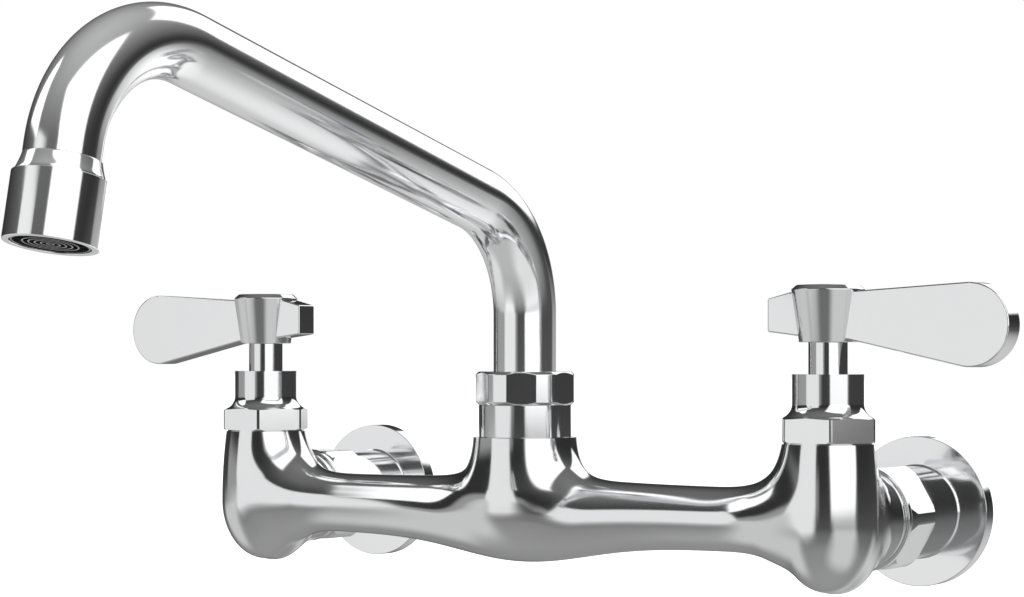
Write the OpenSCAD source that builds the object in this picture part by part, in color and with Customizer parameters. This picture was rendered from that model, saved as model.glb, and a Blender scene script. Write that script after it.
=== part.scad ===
// Wall-mounted commercial faucet: two quarter-turn valves on a cast body, with a swinging spout.
// The wall is the plane y = 0 and the faucet stands out of it towards -Y. The origin is midway
// between the two inlets, +X is to the right for a person who faces the wall, and +Z is up.

/* [Wall and inlets] */
// Distance between the two inlets
centres = 203.2; // [190:0.1:230]
// Distance from the wall to the axes of the valves and of the spout
wall_to_axis = 62.5; // [60:0.5:80]
// Radius of the wall flanges
flange_r = 22.3; // [19:0.1:32]
// Thickness of the wall flanges
flange_t = 5; // [3:0.1:7]
// Bevel round the front of a wall flange
flange_bevel = 0.3; // [0.2:0.1:1]
// Radius of the barrel behind the coupling nut
barrel_r = 13.6; // [13.2:0.1:15]
// Width of the small step where the barrel meets the flange
barrel_step = 0.3; // [0.1:0.1:0.8]
// Radius of the tapped inlet, before its thread is cut
inlet_r = 9.15; // [8.5:0.05:10]
// Depth of the tapped inlet
inlet_depth = 15.5; // [12:0.5:18]
// Radius of the waterway through a coupling
inlet_water_r = 6.5; // [5:0.1:7.5]

/* [Couplings] */
// Distance from the axis of a coupling nut to its flats
nut_flat = 14.5; // [14.2:0.1:15.2]
// Radius of the turned corners of a coupling nut
nut_corner_r = 15.9; // [15.5:0.1:16.5]
// Length of a coupling nut
nut_len = 15.1; // [14:0.1:17]
// Length of the slope at the front of a coupling nut
nut_front_bevel = 2.7; // [1:0.1:3]
// Length of the bevel at the wall end of a coupling nut
nut_back_bevel = 1.1; // [0.5:0.1:2]
// Depth of both bevels of a coupling nut
nut_bevel_depth = 0.7; // [0.4:0.1:1]
// Thickness of the lip that pulls on the tailpiece
nut_lip_t = 3.4; // [2.5:0.1:4]
// Radius of the thread inside a coupling nut
nut_thread_r = 12.6; // [12.4:0.1:12.8]
// Radius of a tailpiece
tail_r = 9.45; // [8.5:0.05:9.8]
// Length of a tailpiece's thread in the body
tail_grip = 9.5; // [7:0.1:10]
// Thickness of the collar on a tailpiece
tail_collar_t = 2.4; // [1.5:0.1:3]
// Thickness of the flat inlet washer
washer_t = 2; // [1.5:0.1:3]

/* [Cast body] */
// Half of the height of the arms
arm_h = 9.2; // [8.8:0.1:10]
// Half of the width of the arms
arm_w = 9.3; // [8.8:0.1:10]
// How far the arms' middle line lies below the inlets
arm_drop = 0.35; // [0:0.05:1]
// How much half of the height grows towards the spout post
belly_h = 3.8; // [2:0.1:4.5]
// How much half of the width grows towards the spout post
belly_w = 2; // [0:0.1:3]
// How much deeper the middle line lies at the spout post
belly_drop = 2.4; // [1:0.1:2.8]
// Distance along the arms over which they grow
belly_len = 31.5; // [25:0.1:36]
// Radius of the spout post
post_r = 15.45; // [15.2:0.05:16]
// Depth of the spout post's rounded foot
post_foot = 13; // [12:0.1:16]
// Height of the tops of the three necks above the inlets
neck_top = 21.8; // [21:0.1:24]
// Largest radius of a valve chamber
chamber_r = 14.1; // [13.9:0.05:15]
// How far the widest place of a chamber lies below the inlets
chamber_drop = 0.7; // [0:0.1:2]
// Depth of a chamber's rounded foot below its widest place
chamber_foot = 18.9; // [18:0.1:21]
// Height over which the long upper curve of a chamber would close
chamber_rise = 52; // [46:0.5:60]
// Radius of the boss behind a chamber
boss_r = 12.6; // [12.4:0.1:13.2]
// Distance from the valve axis to the end of a boss
boss_reach = 22; // [21.5:0.1:25]
// Radius of the ring at the end of a boss
boss_ring_r = 15.25; // [14.8:0.05:16]
// Thickness of the ring at the end of a boss
boss_ring_t = 1.8; // [1.2:0.1:2.5]
// Radius of the bead in front of that ring
boss_bead_r = 14.6; // [14.2:0.05:14.8]
// Thickness of the bead
boss_bead_t = 1.4; // [1:0.1:2]
// Width of the groove between the bead and the ring
boss_groove = 0.6; // [0.4:0.1:1]
// Length of the hollow curve from the boss to its bead
boss_cove = 8.8; // [5:0.1:10]
// Width of the blend between the necks and the top of the arms
blend_top = 20.5; // [14:0.1:24]
// Width of the blend between the post and the underside
blend_low = 3.5; // [2:0.1:8]
// Width of the blend between the arms' top and the chambers
blend_end_top = 24.8; // [16:0.1:28]
// Width of the blend between the underside of the arms and the chambers
blend_end_low = 20; // [12:0.1:24]
// Distance inside the chambers over which that blend dies away
blend_fade = 18; // [12:0.1:20]
// Width of the blend between a chamber and its boss
blend_boss = 22; // [10:0.1:24]

/* [Waterways in the body] */
// Radius of the waterway along the arms
arm_water_r = 5; // [4:0.1:5.5]
// Radius of the duct that drops from a valve to an arm
duct_r = 4; // [3:0.1:4.3]
// Distance from the valve to the foot of its duct
duct_run = 28.6; // [26:0.1:34]
// Height at which a duct opens into its valve
duct_rise = 8.4; // [7.6:0.1:9]
// Radius of the well under a valve
well_r = 7; // [6:0.1:7.5]
// Depth of the well below the inlets
well_depth = 13.5; // [12:0.1:14]
// Radius of the passage from an inlet to the well
passage_r = 4.6; // [4:0.1:4.8]
// How far that passage lies below the inlet
passage_drop = 3.4; // [3.3:0.1:4]
// Radius of the port in the seat
port_r = 5.6; // [4.8:0.1:6]
// Thickness of the seat
seat_t = 2; // [1.5:0.1:2.1]
// Radius of the hollow foot of the spout post
post_water_r = 9; // [7:0.1:10]
// Depth of that hollow below the inlets
post_water_depth = 8; // [6:0.1:8.5]

/* [Valves] */
// Height of the seat's top face above the inlets
seat_level = 3.5; // [3.4:0.1:3.8]
// Height of the ledge that carries the cartridge
ledge_level = 13; // [12.8:0.1:14]
// Radius of the bore round the cartridge
chamber_bore_r = 9.6; // [9.5:0.05:9.8]
// Radius of the bonnet's thread
bonnet_thread_r = 10.95; // [10.6:0.05:11.2]
// Radius inside the bonnet, round the cartridge
bonnet_bore_r = 8.05; // [8:0.05:8.3]
// Distance across the bonnet's flats
hex_af = 25.2; // [24.6:0.1:26]
// Radius to which the hexagon's corners are turned
hex_corner_r = 14.3; // [13.6:0.1:14.8]
// Height of the washer face under the hexagon
hex_face_t = 0.5; // [0.3:0.1:1]
// Radius of the washer face under the hexagon
hex_face_r = 12.3; // [11.8:0.1:12.3]
// Height of the hexagon
hex_h = 6.5; // [5:0.1:8]
// Radius of the hollow curve above the hexagon
cove_r = 4.2; // [3.6:0.1:4.8]
// Radius of the bonnet's round collar
collar_r = 10; // [9.4:0.1:10.6]
// Height of the bonnet above the neck
bonnet_h = 19.4; // [18.5:0.1:22]
// Thickness of the bonnet's top round the stem
bonnet_bearing = 7.7; // [6:0.1:8]
// Radius of the stem below the handle
stem_r = 5.47; // [5.2:0.01:6]
// Height of the bare stem below the handle
stem_show = 8.9; // [6:0.1:14]
// Radius of the spindle inside the cartridge
spindle_r = 6.95; // [6.8:0.05:7.05]
// Radius of the spindle's foot
foot_r = 7.92; // [7.85:0.01:7.94]
// Height of the spindle's foot
foot_h = 1.2; // [1:0.1:1.4]
// Height of the cartridge above the neck
cartridge_rise = 8.2; // [7:0.1:8.8]
// Thickness of the cartridge's flange
cartridge_flange_t = 1.5; // [1.2:0.1:2]
// Thickness of the seat seal
seal_t = 1.6; // [1.2:0.1:1.8]
// Thickness of each ceramic disc
disc_t = 2.2; // [1.8:0.1:2.3]
// Radius of the ceramic discs
disc_r = 7.8; // [7.4:0.05:7.85]
// Radius of each opening through the ceramic discs
disc_port_r = 2.2; // [1.8:0.1:2.3]
// Thickness of the tongue that turns the upper disc
tongue_t = 3.2; // [2.6:0.1:3.4]
// Depth of the slot for the tongue
slot_depth = 0.9; // [0.6:0.1:1.2]
// Width of the windows in the cartridge
window_w = 9; // [6:0.1:10]
// Thickness of the retaining clip
clip_t = 1; // [0.8:0.1:1.2]
// Section radius of the small seal rings
ring_r = 0.5; // [0.4:0.05:0.5]

/* [Handles] */
// Radius of the hub at its underside
hub_bottom_r = 8.05; // [7:0.05:9]
// Height from the hub's underside to its rim
hub_h = 14.6; // [14.4:0.1:16]
// Radius of the hub at its rim
hub_rim_r = 10.25; // [9.8:0.05:11]
// Height of the bevel above the rim
hub_bevel_h = 1.3; // [1:0.1:1.6]
// Width of the bevel above the rim
hub_bevel_w = 1.5; // [1:0.1:1.8]
// Distance from the stem to the tip of the lever
lever_reach = 55.1; // [44:0.1:75]
// Radius of the lever's round end
lever_end_r = 11.4; // [8:0.1:13]
// Height of the middle of the lever's end above the hub's underside
lever_end_rise = 4.6; // [3:0.1:7]
// Thickness of the lever
lever_t = 7.7; // [5:0.1:9]
// Height of the lever's lower edge at the hub, above the hub's underside
lever_root_low = 0.7; // [0.5:0.1:2]
// Height of the lever's upper edge at the hub, above the hub's underside
lever_root_high = 14.1; // [13:0.1:14.3]
// Distance from the stem to the end of the tail
tail_reach = 17; // [14:0.1:20]
// Height of the tail's lower edge at the hub, above the hub's underside
tail_root_low = 1.8; // [1:0.1:3]
// Height of the tail's upper edge at the hub, above the hub's underside
tail_root_high = 13.9; // [12:0.1:14.3]
// Height of the tail's lower edge at its end, above the hub's underside
tail_end_low = 2.9; // [1.5:0.1:5]
// Height of the tail's upper edge at its end, above the hub's underside
tail_end_high = 12.2; // [9:0.1:13]
// Bevel round the faces of the lever
lever_bevel = 0.5; // [0.2:0.1:0.8]
// Radius of the spindle's splined end
spline_r = 4.3; // [4:0.05:4.6]
// Length of the spindle's splined end
spline_len = 8; // [6:0.1:8.2]
// Number of sides on the splined end
spline_sides = 12; // [8:1:12]
// Thickness of the web under the screw's head
hub_web_t = 1.6; // [1.2:0.1:1.8]
// Radius of the handle screw's shank
screw_r = 1.95; // [1.5:0.05:2.2]
// Radius of the handle screw's head
screw_head_r = 3.6; // [3:0.05:3.7]
// Height of the handle screw's head
screw_head_h = 2.3; // [1.5:0.1:2.4]
// Length of the handle screw below its head
screw_len = 12; // [8:0.1:13]
// Width of the cross recess in the screw's head
screw_slot_w = 1; // [0.6:0.1:1.2]
// Radius of the coloured index button
button_r = 6.5; // [5.8:0.1:7]
// Thickness of the index button's disc
button_t = 1.8; // [1.4:0.1:2]
// Bevel round the face of the index button
button_bevel = 0.5; // [0.2:0.1:1]
// Depth of the index button's snap ring
button_skirt = 1.3; // [1:0.1:1.4]

/* [Spout joint] */
// Radius of the thread that holds the socket in the post
socket_thread_r = 12.9; // [12.7:0.05:13.1]
// Length of that thread
socket_grip = 14; // [12:0.1:15]
// Radius of the socket's collar
socket_collar_r = 13.96; // [13.6:0.02:14.6]
// Height of the socket's collar
socket_collar_h = 9.7; // [8:0.1:12]
// Height of the thread above the collar
socket_spigot_h = 6; // [5:0.1:6.4]
// Radius of the bore in the socket
socket_bore_r = 11.4; // [11.3:0.05:11.6]
// Thickness of the floor of the socket
socket_floor_t = 1.6; // [1.2:0.1:2.4]
// Radius of the spout nut
spout_nut_r = 14.9; // [14.6:0.05:16]
// Distance from the spout nut's axis to its flats, as a share of its radius
spout_nut_flat_share = 0.958; // [0.95:0.001:0.98]
// Height of the spout nut
spout_nut_h = 10; // [9.8:0.1:12]
// Thickness of the spout nut's top
spout_nut_lip_t = 1.5; // [1.2:0.1:1.8]
// Bevel at both ends of the spout nut
spout_nut_bevel = 0.9; // [0.5:0.1:1.2]
// Length of the sleeve inside the socket
sleeve_len = 22; // [18:0.1:23]
// Thickness of the flange on the sleeve
sleeve_flange_t = 1.3; // [1:0.1:1.5]
// Section radius of the spout's seal rings
spout_ring_r = 0.65; // [0.5:0.05:0.65]

/* [Spout] */
// Radius of the spout tube
tube_r = 9.525; // [9.4:0.005:9.6]
// Wall of the spout tube
tube_wall = 1.2; // [1:0.1:1.5]
// Height at which the upright and the straight run would meet
corner_h = 85.76; // [80:0.01:120]
// Slope of the straight run in degrees
rise_angle = 13.94; // [5:0.01:20]
// Radius of the two bends, at the middle of the tube
bend_r = 35.1; // [30:0.1:38]
// Distance from the upright at which the straight run would meet the outlet leg
outlet_corner = 186.75; // [130:0.01:260]
// Lean of the outlet leg away from the upright, in degrees
outlet_lean = 11.08; // [2:0.01:15]
// Length of the straight outlet leg above the aerator
outlet_leg = 7.4; // [7:0.1:20]

/* [Aerator] */
// Length of the flared end piece that shows above the aerator
ferrule_len = 4.4; // [3:0.1:4.8]
// Radius of that flare where it meets the aerator
ferrule_r = 10.85; // [10.65:0.05:11.2]
// Length of the end piece inside the tube
ferrule_grip = 2.6; // [1.5:0.1:2.6]
// Length of the thread inside the aerator
aerator_thread_len = 7; // [5:0.1:7.5]
// Radius of the aerator housing
aerator_r = 11.44; // [11.3:0.01:12.5]
// Length of the aerator housing
aerator_len = 16.6; // [16:0.1:20]
// Bevel at both ends of the housing
aerator_bevel = 0.25; // [0.1:0.05:0.5]
// Radius of the thread inside the housing
aerator_thread_r = 10.4; // [10.2:0.05:10.6]
// Radius of the opening at the bottom of the housing
mouth_r = 9.7; // [9.2:0.05:9.8]
// Thickness of the lip round that opening
mouth_lip_t = 1.4; // [1:0.1:2]
// Thickness of the aerator gasket
gasket_t = 1.4; // [1:0.1:1.8]
// Thickness of the perforated screen
screen_t = 0.6; // [0.4:0.1:0.8]
// Radius of the holes in the screen
screen_hole_r = 0.75; // [0.5:0.05:0.85]
// Distance between the rings of holes in the screen
screen_pitch = 2.2; // [2:0.05:2.3]
// Number of rings in the aerator insert
insert_rings = 5; // [3:1:5]
// Distance between the rings in the aerator insert
insert_pitch = 1.46; // [1.3:0.01:1.5]
// Radius of the innermost ring
insert_first_r = 0.8; // [0.6:0.05:1]
// Thickness of the rings and ribs in the aerator insert
insert_wall = 0.36; // [0.3:0.02:0.5]
// Height of the rings in the aerator insert
insert_ring_h = 3; // [2:0.1:4]
// Number of radial ribs in the aerator insert
insert_ribs = 12; // [6:1:18]
// Radius inside the rim of the insert
insert_rim_r = 8.8; // [8.2:0.05:8.9]
// Distance from the lip's face to the insert's rings
insert_recess = 0.9; // [0.5:0.1:1.3]

/* [Hidden] */
$fn = 72;
// Gap on the radius of a running fit, play between turning faces, loose gap, and overrun of a cut
fit = 0.05;
play = 0.05;
loose = 0.2;
over = 1;
half = centres / 2;
left = -1;
right = 1;

// Places along an inlet, measured from the valve axis towards the wall
nut_start = boss_reach + play;
nut_end = nut_start + nut_len;
tail_collar_start = nut_start + nut_lip_t;
washer_start = tail_collar_start + tail_collar_t;
barrel_start = washer_start + washer_t;
flange_face = wall_to_axis - flange_t;
tail_collar_r = nut_thread_r - loose;
ring_start = boss_reach - boss_ring_t;
bead_end = ring_start - boss_groove;
bead_start = bead_end - boss_bead_t;
groove_r = boss_bead_r - boss_groove;
cove_foot_r = boss_r - boss_groove / 2;
bead_lip = 0.1;

// Levels in a valve
web_under = seat_level - seat_t;
disc_level = seat_level + seal_t;
turning_level = disc_level + disc_t + play;
turning_top = turning_level + disc_t;
cartridge_gap = 0.5;
cartridge_low = seat_level + cartridge_gap;
cartridge_shoulder = ledge_level + 2 * cartridge_flange_t / 3;
foot_level = cartridge_shoulder - play - foot_h;
cartridge_foot_r = chamber_bore_r - 2 * fit;
cartridge_foot_h = 6 * ring_r;
cartridge_ring_level = cartridge_low + cartridge_foot_h / 2;
cartridge_wall = 0.75;
cartridge_cavity_r = foot_r + fit;
cartridge_waist_r = cartridge_cavity_r + cartridge_wall;
cartridge_sleeve_r = bonnet_bore_r - fit;
cartridge_top = neck_top + cartridge_rise;
window_level = turning_top + play;
window_top = foot_level - play;
ring_depth = 2 * ring_r + fit;
spindle_ring_levels = [neck_top - 8 * ring_r, neck_top + 2 * ring_r];
spindle_groove_r = spindle_r - ring_depth;
clip_groove_depth = 0.75;
clip_level = cartridge_top + play;
clip_r = spindle_r + clip_groove_depth;
bonnet_top = neck_top + bonnet_h;
bonnet_bore_top = bonnet_top - bonnet_bearing;
spindle_shoulder = bonnet_bore_top - play;
hex_level = neck_top + hex_face_t;
hex_top = hex_level + hex_h;
cove_top = hex_top + cove_r;
hex_bevel = 0.5;
collar_bevel = 0.3;

// Levels in a handle
hub_bottom = bonnet_top + stem_show;
spline_top = hub_bottom + spline_len;
web_level = spline_top + play;
head_level = web_level + hub_web_t;
hub_rim = hub_bottom + hub_h;
hub_top = hub_rim + hub_bevel_h;
button_inset = 0.1;
button_level = hub_top - button_t - button_inset;
head_bore_r = 4.5;
button_skirt_t = 0.6;
tapped_depth = 0.4 * screw_len;
screw_slot_depth = 1.2;

// Levels in the spout joint
socket_foot = neck_top - socket_grip;
spigot_level = neck_top + socket_collar_h;
spigot_top = spigot_level + socket_spigot_h;
sleeve_top = spigot_top + play + sleeve_flange_t;
sleeve_foot = sleeve_top - sleeve_len;
spout_nut_top = spigot_level + spout_nut_h;
glide_top = spout_nut_top - spout_nut_lip_t;
sleeve_r = socket_bore_r - fit;
sleeve_flange_r = socket_thread_r - loose;
socket_mouth_r = socket_bore_r - 3 * spout_ring_r;
spout_ring_depth = 2 * spout_ring_r + fit;
spout_ring_levels = [sleeve_foot + 6 * spout_ring_r, sleeve_foot + 14 * spout_ring_r];

// The route of the spout: turns at the two bends, and the ends of the straight run
first_turn = 90 - rise_angle;
last_turn = 90 + rise_angle - outlet_lean;
first_cut = bend_r * tan(first_turn / 2);
last_cut = bend_r * tan(last_turn / 2);
run_len = outlet_corner / cos(rise_angle) - first_cut - last_cut;
upright_top = corner_h - first_cut;
tube_end = outlet_leg - ferrule_len;
// Straight lengths run a little into the bends, and are a hair thicker, so that the two join cleanly
seam_lap = 0.02;
seam_step = 0.004;

// Levels in the aerator, measured along the outlet from the end of the bend
thread_end = outlet_leg + aerator_thread_len;
screen_level = thread_end + gasket_t;
insert_level = screen_level + screen_t;
mouth_level = outlet_leg + aerator_len - mouth_lip_t;
mouth_end = outlet_leg + aerator_len;
insert_ring_end = mouth_end - insert_recess;
ferrule_water_r = tube_r - 2 * tube_wall;

// Solids between two levels on the Z axis
module rod(r, low, high) translate([0, 0, low]) cylinder(r = r, h = high - low);
module cone(low_r, high_r, low, high) translate([0, 0, low]) cylinder(r1 = low_r, r2 = high_r, h = high - low);
module ring(r, hole_r, low, high) difference() {
    rod(r, low, high);
    rod(hole_r, low - over, high + over);
}
module torus(r, section_r, level) translate([0, 0, level])
    rotate_extrude() translate([r, 0]) circle(r = section_r);
// Groove round a shaft for a seal ring
module ring_groove(shaft_r, depth, level, section_r)
    ring(shaft_r + over, shaft_r - depth, level - section_r - fit, level + section_r + fit);
// Hexagonal prism with flats across Y, where flat is the distance from its axis to a flat
module prism(flat, low, high) translate([0, 0, low])
    cylinder(r = flat / cos(30), h = high - low, $fn = 6);
// Moves a shape to the spout or to a valve, and turns one so that its Z axis points at the wall
module at_spout() translate([0, -wall_to_axis, 0]) children();
module at_valve(side) translate([side * half, -wall_to_axis, 0]) children();
module at_inlet(side) at_valve(side) rotate([-90, 0, 0]) children();

// The skin of the casting is where blend_field() is zero. Distances are below zero inside.
function soft_min(a, b, k) = let(h = max(k - abs(a - b), 0) / k) min(a, b) - h * h * h * k / 6;
function ease(t) = let(c = min(max(t, 0), 1)) c * c * (3 - 2 * c);
function arm_field(x, y, z) =
    let(
        growth = exp(-pow(x / belly_len, 2)),
        w = arm_w + belly_w * growth,
        h = arm_h + belly_h * growth,
        middle = -arm_drop - belly_drop * growth
    )
    (norm([max(x - half, 0) / w, y / w, (z - middle) / h]) - 1) * min(w, h);
function post_field(x, y, z) = norm([x, y, min(z, 0) * post_r / post_foot]) - post_r;
function chamber_field(x, y, z) =
    let(rise = z + chamber_drop, reach = rise > 0 ? chamber_rise : chamber_foot)
    (norm([norm([x, y]) / chamber_r, rise / reach]) - 1) * chamber_r;
// A boss starts a little behind the valve axis. Its own blend grows from the front to the back. It
// dies away in front of the bead, and at the sides, where the chamber runs into the boss by itself.
boss_start_share = 0.555;
boss_lead_share = 0.635;
boss_front_share = 1.3;
function boss_field(x, y, z) =
    norm([x, min(y - boss_start_share * boss_r, 0) * boss_front_share, z]) - boss_r;
function boss_blend(x, y) =
    blend_boss
    * ease((y / boss_r + boss_lead_share) / (2 * boss_start_share))
    * (1 - min(pow(x / chamber_r, 4), 1))
    * ease((bead_start - y) / (bead_start - boss_r));
least_blend = 0.01;
function blend_field(x, y, z) =
    let(
        above = ease((z + arm_h / 4) / arm_h),
        core = soft_min(arm_field(x, y, z), post_field(x, y, z), blend_low + (blend_top - blend_low) * above),
        end = soft_min(
            chamber_field(x - half, y, z),
            boss_field(x - half, y, z),
            max(boss_blend(x - half, y), least_blend)
        ),
        fade = 1 - ease((x - half) / blend_fade + 1)
    )
    soft_min(core, end, max((blend_end_low + (blend_end_top - blend_end_low) * above) * fade, least_blend));
// Distance from the middle line to the skin, at x and towards the unit direction (s, c)
skin_steps = 13;
skin_reach = 2 * neck_top;
function skin_distance(x, s, c, low, high, n) =
    n == 0 ? (low + high) / 2
    : let(middle = (low + high) / 2)
      blend_field(x, middle * s, middle * c) < 0
      ? skin_distance(x, s, c, middle, high, n - 1)
      : skin_distance(x, s, c, low, middle, n - 1);
// Directions round the middle line, from straight up by way of the wall, closer at the necks and bosses
skin_angles = [
    0, 3, 7, 12, 19, 28, 40, 52, 62, 70, 77, 83, 90, 97, 103, 110, 118, 128, 140, 152, 165, 180,
    195, 210, 225, 240, 255, 270, 285, 300, 310, 320, 332, 341, 348, 353, 357
];
// Sections along the middle line, closer where a neck rises and where a blend turns
post_turns = [0, 18, 34, 48, 60, 71, 81, 90];
chamber_turns = [-90, -81, -71, -60, -46, -30, -14, 0, 14, 30, 46, 60, 70, 78, 84];
blend_parts = 5;
arm_parts = 7;
post_span = 0.8 * post_r;
chamber_span = 0.9 * chamber_r;
arm_start = post_r + post_span;
arm_end = half - chamber_r - chamber_span;
skin_half_sections = concat(
    [for (turn = post_turns) post_r * sin(turn)],
    [for (i = [1:blend_parts]) post_r + post_span * pow(i / blend_parts, 2)],
    [for (i = [1:arm_parts - 1]) arm_start + (arm_end - arm_start) * i / arm_parts],
    [for (i = [blend_parts:-1:1]) half - chamber_r - chamber_span * pow(i / blend_parts, 2)],
    [for (turn = chamber_turns) half + chamber_r * sin(turn)]
);
skin_sections = concat(
    [for (i = [len(skin_half_sections) - 1:-1:1]) -skin_half_sections[i]],
    skin_half_sections
);
module skin() {
    round = len(skin_angles);
    rows = len(skin_sections);
    last = rows - 1;
    points = concat(
        [for (x = skin_sections) for (angle = skin_angles)
            let(d = skin_distance(abs(x), sin(angle), cos(angle), 0, skin_reach, skin_steps))
            [x, d * sin(angle), d * cos(angle)]],
        [[-half - chamber_r, 0, -chamber_drop], [half + chamber_r, 0, -chamber_drop]]
    );
    faces = concat(
        [for (i = [0:last - 1]) for (j = [0:round - 1]) let(k = (j + 1) % round) each [
            [i * round + j, (i + 1) * round + k, (i + 1) * round + j],
            [i * round + j, i * round + k, (i + 1) * round + k]
        ]],
        [for (j = [0:round - 1]) [rows * round, (j + 1) % round, j]],
        [for (j = [0:round - 1]) [rows * round + 1, last * round + j, last * round + (j + 1) % round]]
    );
    polyhedron(points, faces);
}

// Rings at the end of a boss, with a hollow curve in front of them
module boss_end() {
    foot = bead_start - boss_cove;
    rise = boss_bead_r - bead_lip - cove_foot_r;
    hollow_r = (boss_cove * boss_cove + rise * rise) / (2 * rise);
    rotate_extrude() difference() {
        polygon([
            [0, foot], [boss_bead_r, foot], [boss_bead_r, bead_end], [groove_r, bead_end],
            [groove_r, ring_start], [boss_ring_r, ring_start], [boss_ring_r, boss_reach], [0, boss_reach]
        ]);
        difference() {
            translate([cove_foot_r + hollow_r, foot]) circle(r = hollow_r);
            translate([0, bead_start]) square(boss_ring_r + hollow_r);
        }
    }
}

// The casting: its skin cut flat at the necks and the bosses, with every bore and waterway
module faucet_body() color("silver") at_spout() difference() {
    casting();
    valve_bores();
    waterways();
    post_bores();
}
module casting() {
    intersection() {
        skin();
        translate([-centres, -centres, -centres])
            cube([2 * centres, centres + bead_start + boss_bead_t / 2, centres + neck_top]);
    }
    for (side = [left, right]) translate([side * half, 0, 0]) rotate([-90, 0, 0]) boss_end();
}
module valve_bores() for (side = [left, right]) translate([side * half, 0, 0]) {
    rod(bonnet_thread_r + fit, ledge_level, neck_top + over);
    rod(chamber_bore_r, seat_level, neck_top);
    rod(port_r, web_under - over, seat_level + over);
    rod(well_r, -well_depth, web_under);
    rotate([-90, 0, 0]) rod(tail_r + fit, boss_reach - tail_grip, boss_reach + over);
    translate([0, 0, -passage_drop]) rotate([-90, 0, 0]) rod(passage_r, 0, boss_reach - tail_grip + over);
}
module waterways() {
    run = duct_run - well_r;
    rise = duct_rise + arm_drop;
    reach = half - duct_run + arm_water_r;
    translate([-reach, 0, -arm_drop]) rotate([0, 90, 0]) rod(arm_water_r, 0, 2 * reach);
    for (side = [left, right]) translate([side * (half - duct_run), 0, -arm_drop])
        rotate([0, side * atan2(run, rise), 0]) rod(duct_r, 0, norm([run, rise]));
}
module post_bores() {
    rod(socket_thread_r + fit, socket_foot, neck_top + over);
    rod(post_water_r, -post_water_depth, socket_foot + over);
}

module wall_flange(side) color("gainsboro") at_inlet(side) difference() {
    union() {
        rod(nut_thread_r - fit, barrel_start, wall_to_axis);
        rod(barrel_r, nut_end + play, wall_to_axis);
        cone(barrel_r, barrel_r + barrel_step, flange_face - barrel_step, flange_face);
        cone(flange_r - flange_bevel, flange_r, flange_face, flange_face + flange_bevel);
        rod(flange_r, flange_face + flange_bevel, wall_to_axis);
    }
    rod(inlet_r, wall_to_axis - inlet_depth, wall_to_axis + over);
    rod(inlet_water_r, barrel_start - over, wall_to_axis);
}
module coupling_nut(side) color("silver") at_inlet(side) difference() {
    bevel_r = nut_corner_r - nut_bevel_depth;
    intersection() {
        union() {
            cone(bevel_r, nut_corner_r, nut_start, nut_start + nut_front_bevel);
            rod(nut_corner_r, nut_start + nut_front_bevel, nut_end - nut_back_bevel);
            cone(nut_corner_r, bevel_r, nut_end - nut_back_bevel, nut_end);
        }
        prism(nut_flat, nut_start - over, nut_end + over);
    }
    rod(tail_r + loose, nut_start - over, nut_end);
    rod(nut_thread_r, tail_collar_start, nut_end + over);
}
module inlet_tail(side) color("peru") at_inlet(side) difference() {
    union() {
        rod(tail_r, boss_reach - tail_grip, washer_start);
        rod(tail_collar_r, tail_collar_start, washer_start);
    }
    rod(inlet_water_r, 0, barrel_start);
}
module inlet_washer(side) color("dimgray") at_inlet(side)
    ring(tail_collar_r, inlet_water_r, washer_start, barrel_start);

module bonnet(side) color("silver") at_valve(side) difference() {
    union() {
        rod(bonnet_thread_r, ledge_level + cartridge_flange_t, neck_top);
        rod(hex_face_r, neck_top, hex_level);
        intersection() {
            prism(hex_af / 2, hex_level, cove_top);
            difference() {
                union() {
                    cone(hex_corner_r - hex_bevel, hex_corner_r, hex_level, hex_level + hex_bevel);
                    rod(hex_corner_r, hex_level + hex_bevel, cove_top);
                }
                torus(collar_r + cove_r, cove_r, cove_top);
                ring(hex_corner_r + over, collar_r + cove_r, hex_top, cove_top + over);
            }
        }
        rod(collar_r, hex_top, bonnet_top - collar_bevel);
        cone(collar_r, collar_r - collar_bevel, bonnet_top - collar_bevel, bonnet_top);
    }
    rod(bonnet_bore_r, 0, bonnet_bore_top);
    rod(stem_r + fit, 0, bonnet_top + over);
}

module cartridge_body(side) color("goldenrod") at_valve(side) difference() {
    union() {
        rod(cartridge_foot_r, cartridge_low, cartridge_low + cartridge_foot_h);
        rod(cartridge_waist_r, cartridge_low, ledge_level);
        rod(bonnet_thread_r - fit, ledge_level, ledge_level + cartridge_flange_t);
        rod(cartridge_sleeve_r, ledge_level, cartridge_top);
    }
    rod(cartridge_cavity_r, 0, cartridge_shoulder);
    rod(spindle_r + fit, 0, cartridge_top + over);
    ring_groove(cartridge_foot_r, ring_depth, cartridge_ring_level, ring_r);
    translate([-chamber_bore_r, -window_w / 2, window_level])
        cube([2 * chamber_bore_r, window_w, window_top - window_level]);
}
module cartridge_ring(side) color("black") at_valve(side)
    torus(cartridge_foot_r - ring_r, ring_r, cartridge_ring_level);
module seat_seal(side) color("black") at_valve(side) ring(disc_r, port_r, seat_level, disc_level);
// The two openings through a ceramic disc
module disc_ports(low) for (place = [-1, 1]) translate([place * disc_r / 2, 0, low - over])
    cylinder(r = disc_port_r, h = disc_t + 2 * over);
module fixed_disc(side) color("ivory") at_valve(side) difference() {
    rod(disc_r, disc_level, disc_level + disc_t);
    disc_ports(disc_level);
}
module turning_disc(side) color("white") at_valve(side) difference() {
    rod(disc_r, turning_level, turning_top);
    rotate([0, 0, 90]) disc_ports(turning_level);
    translate([-disc_r - over, -tongue_t / 2 - fit, turning_top - slot_depth])
        cube([2 * disc_r + 2 * over, tongue_t + 2 * fit, slot_depth + over]);
}

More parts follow.
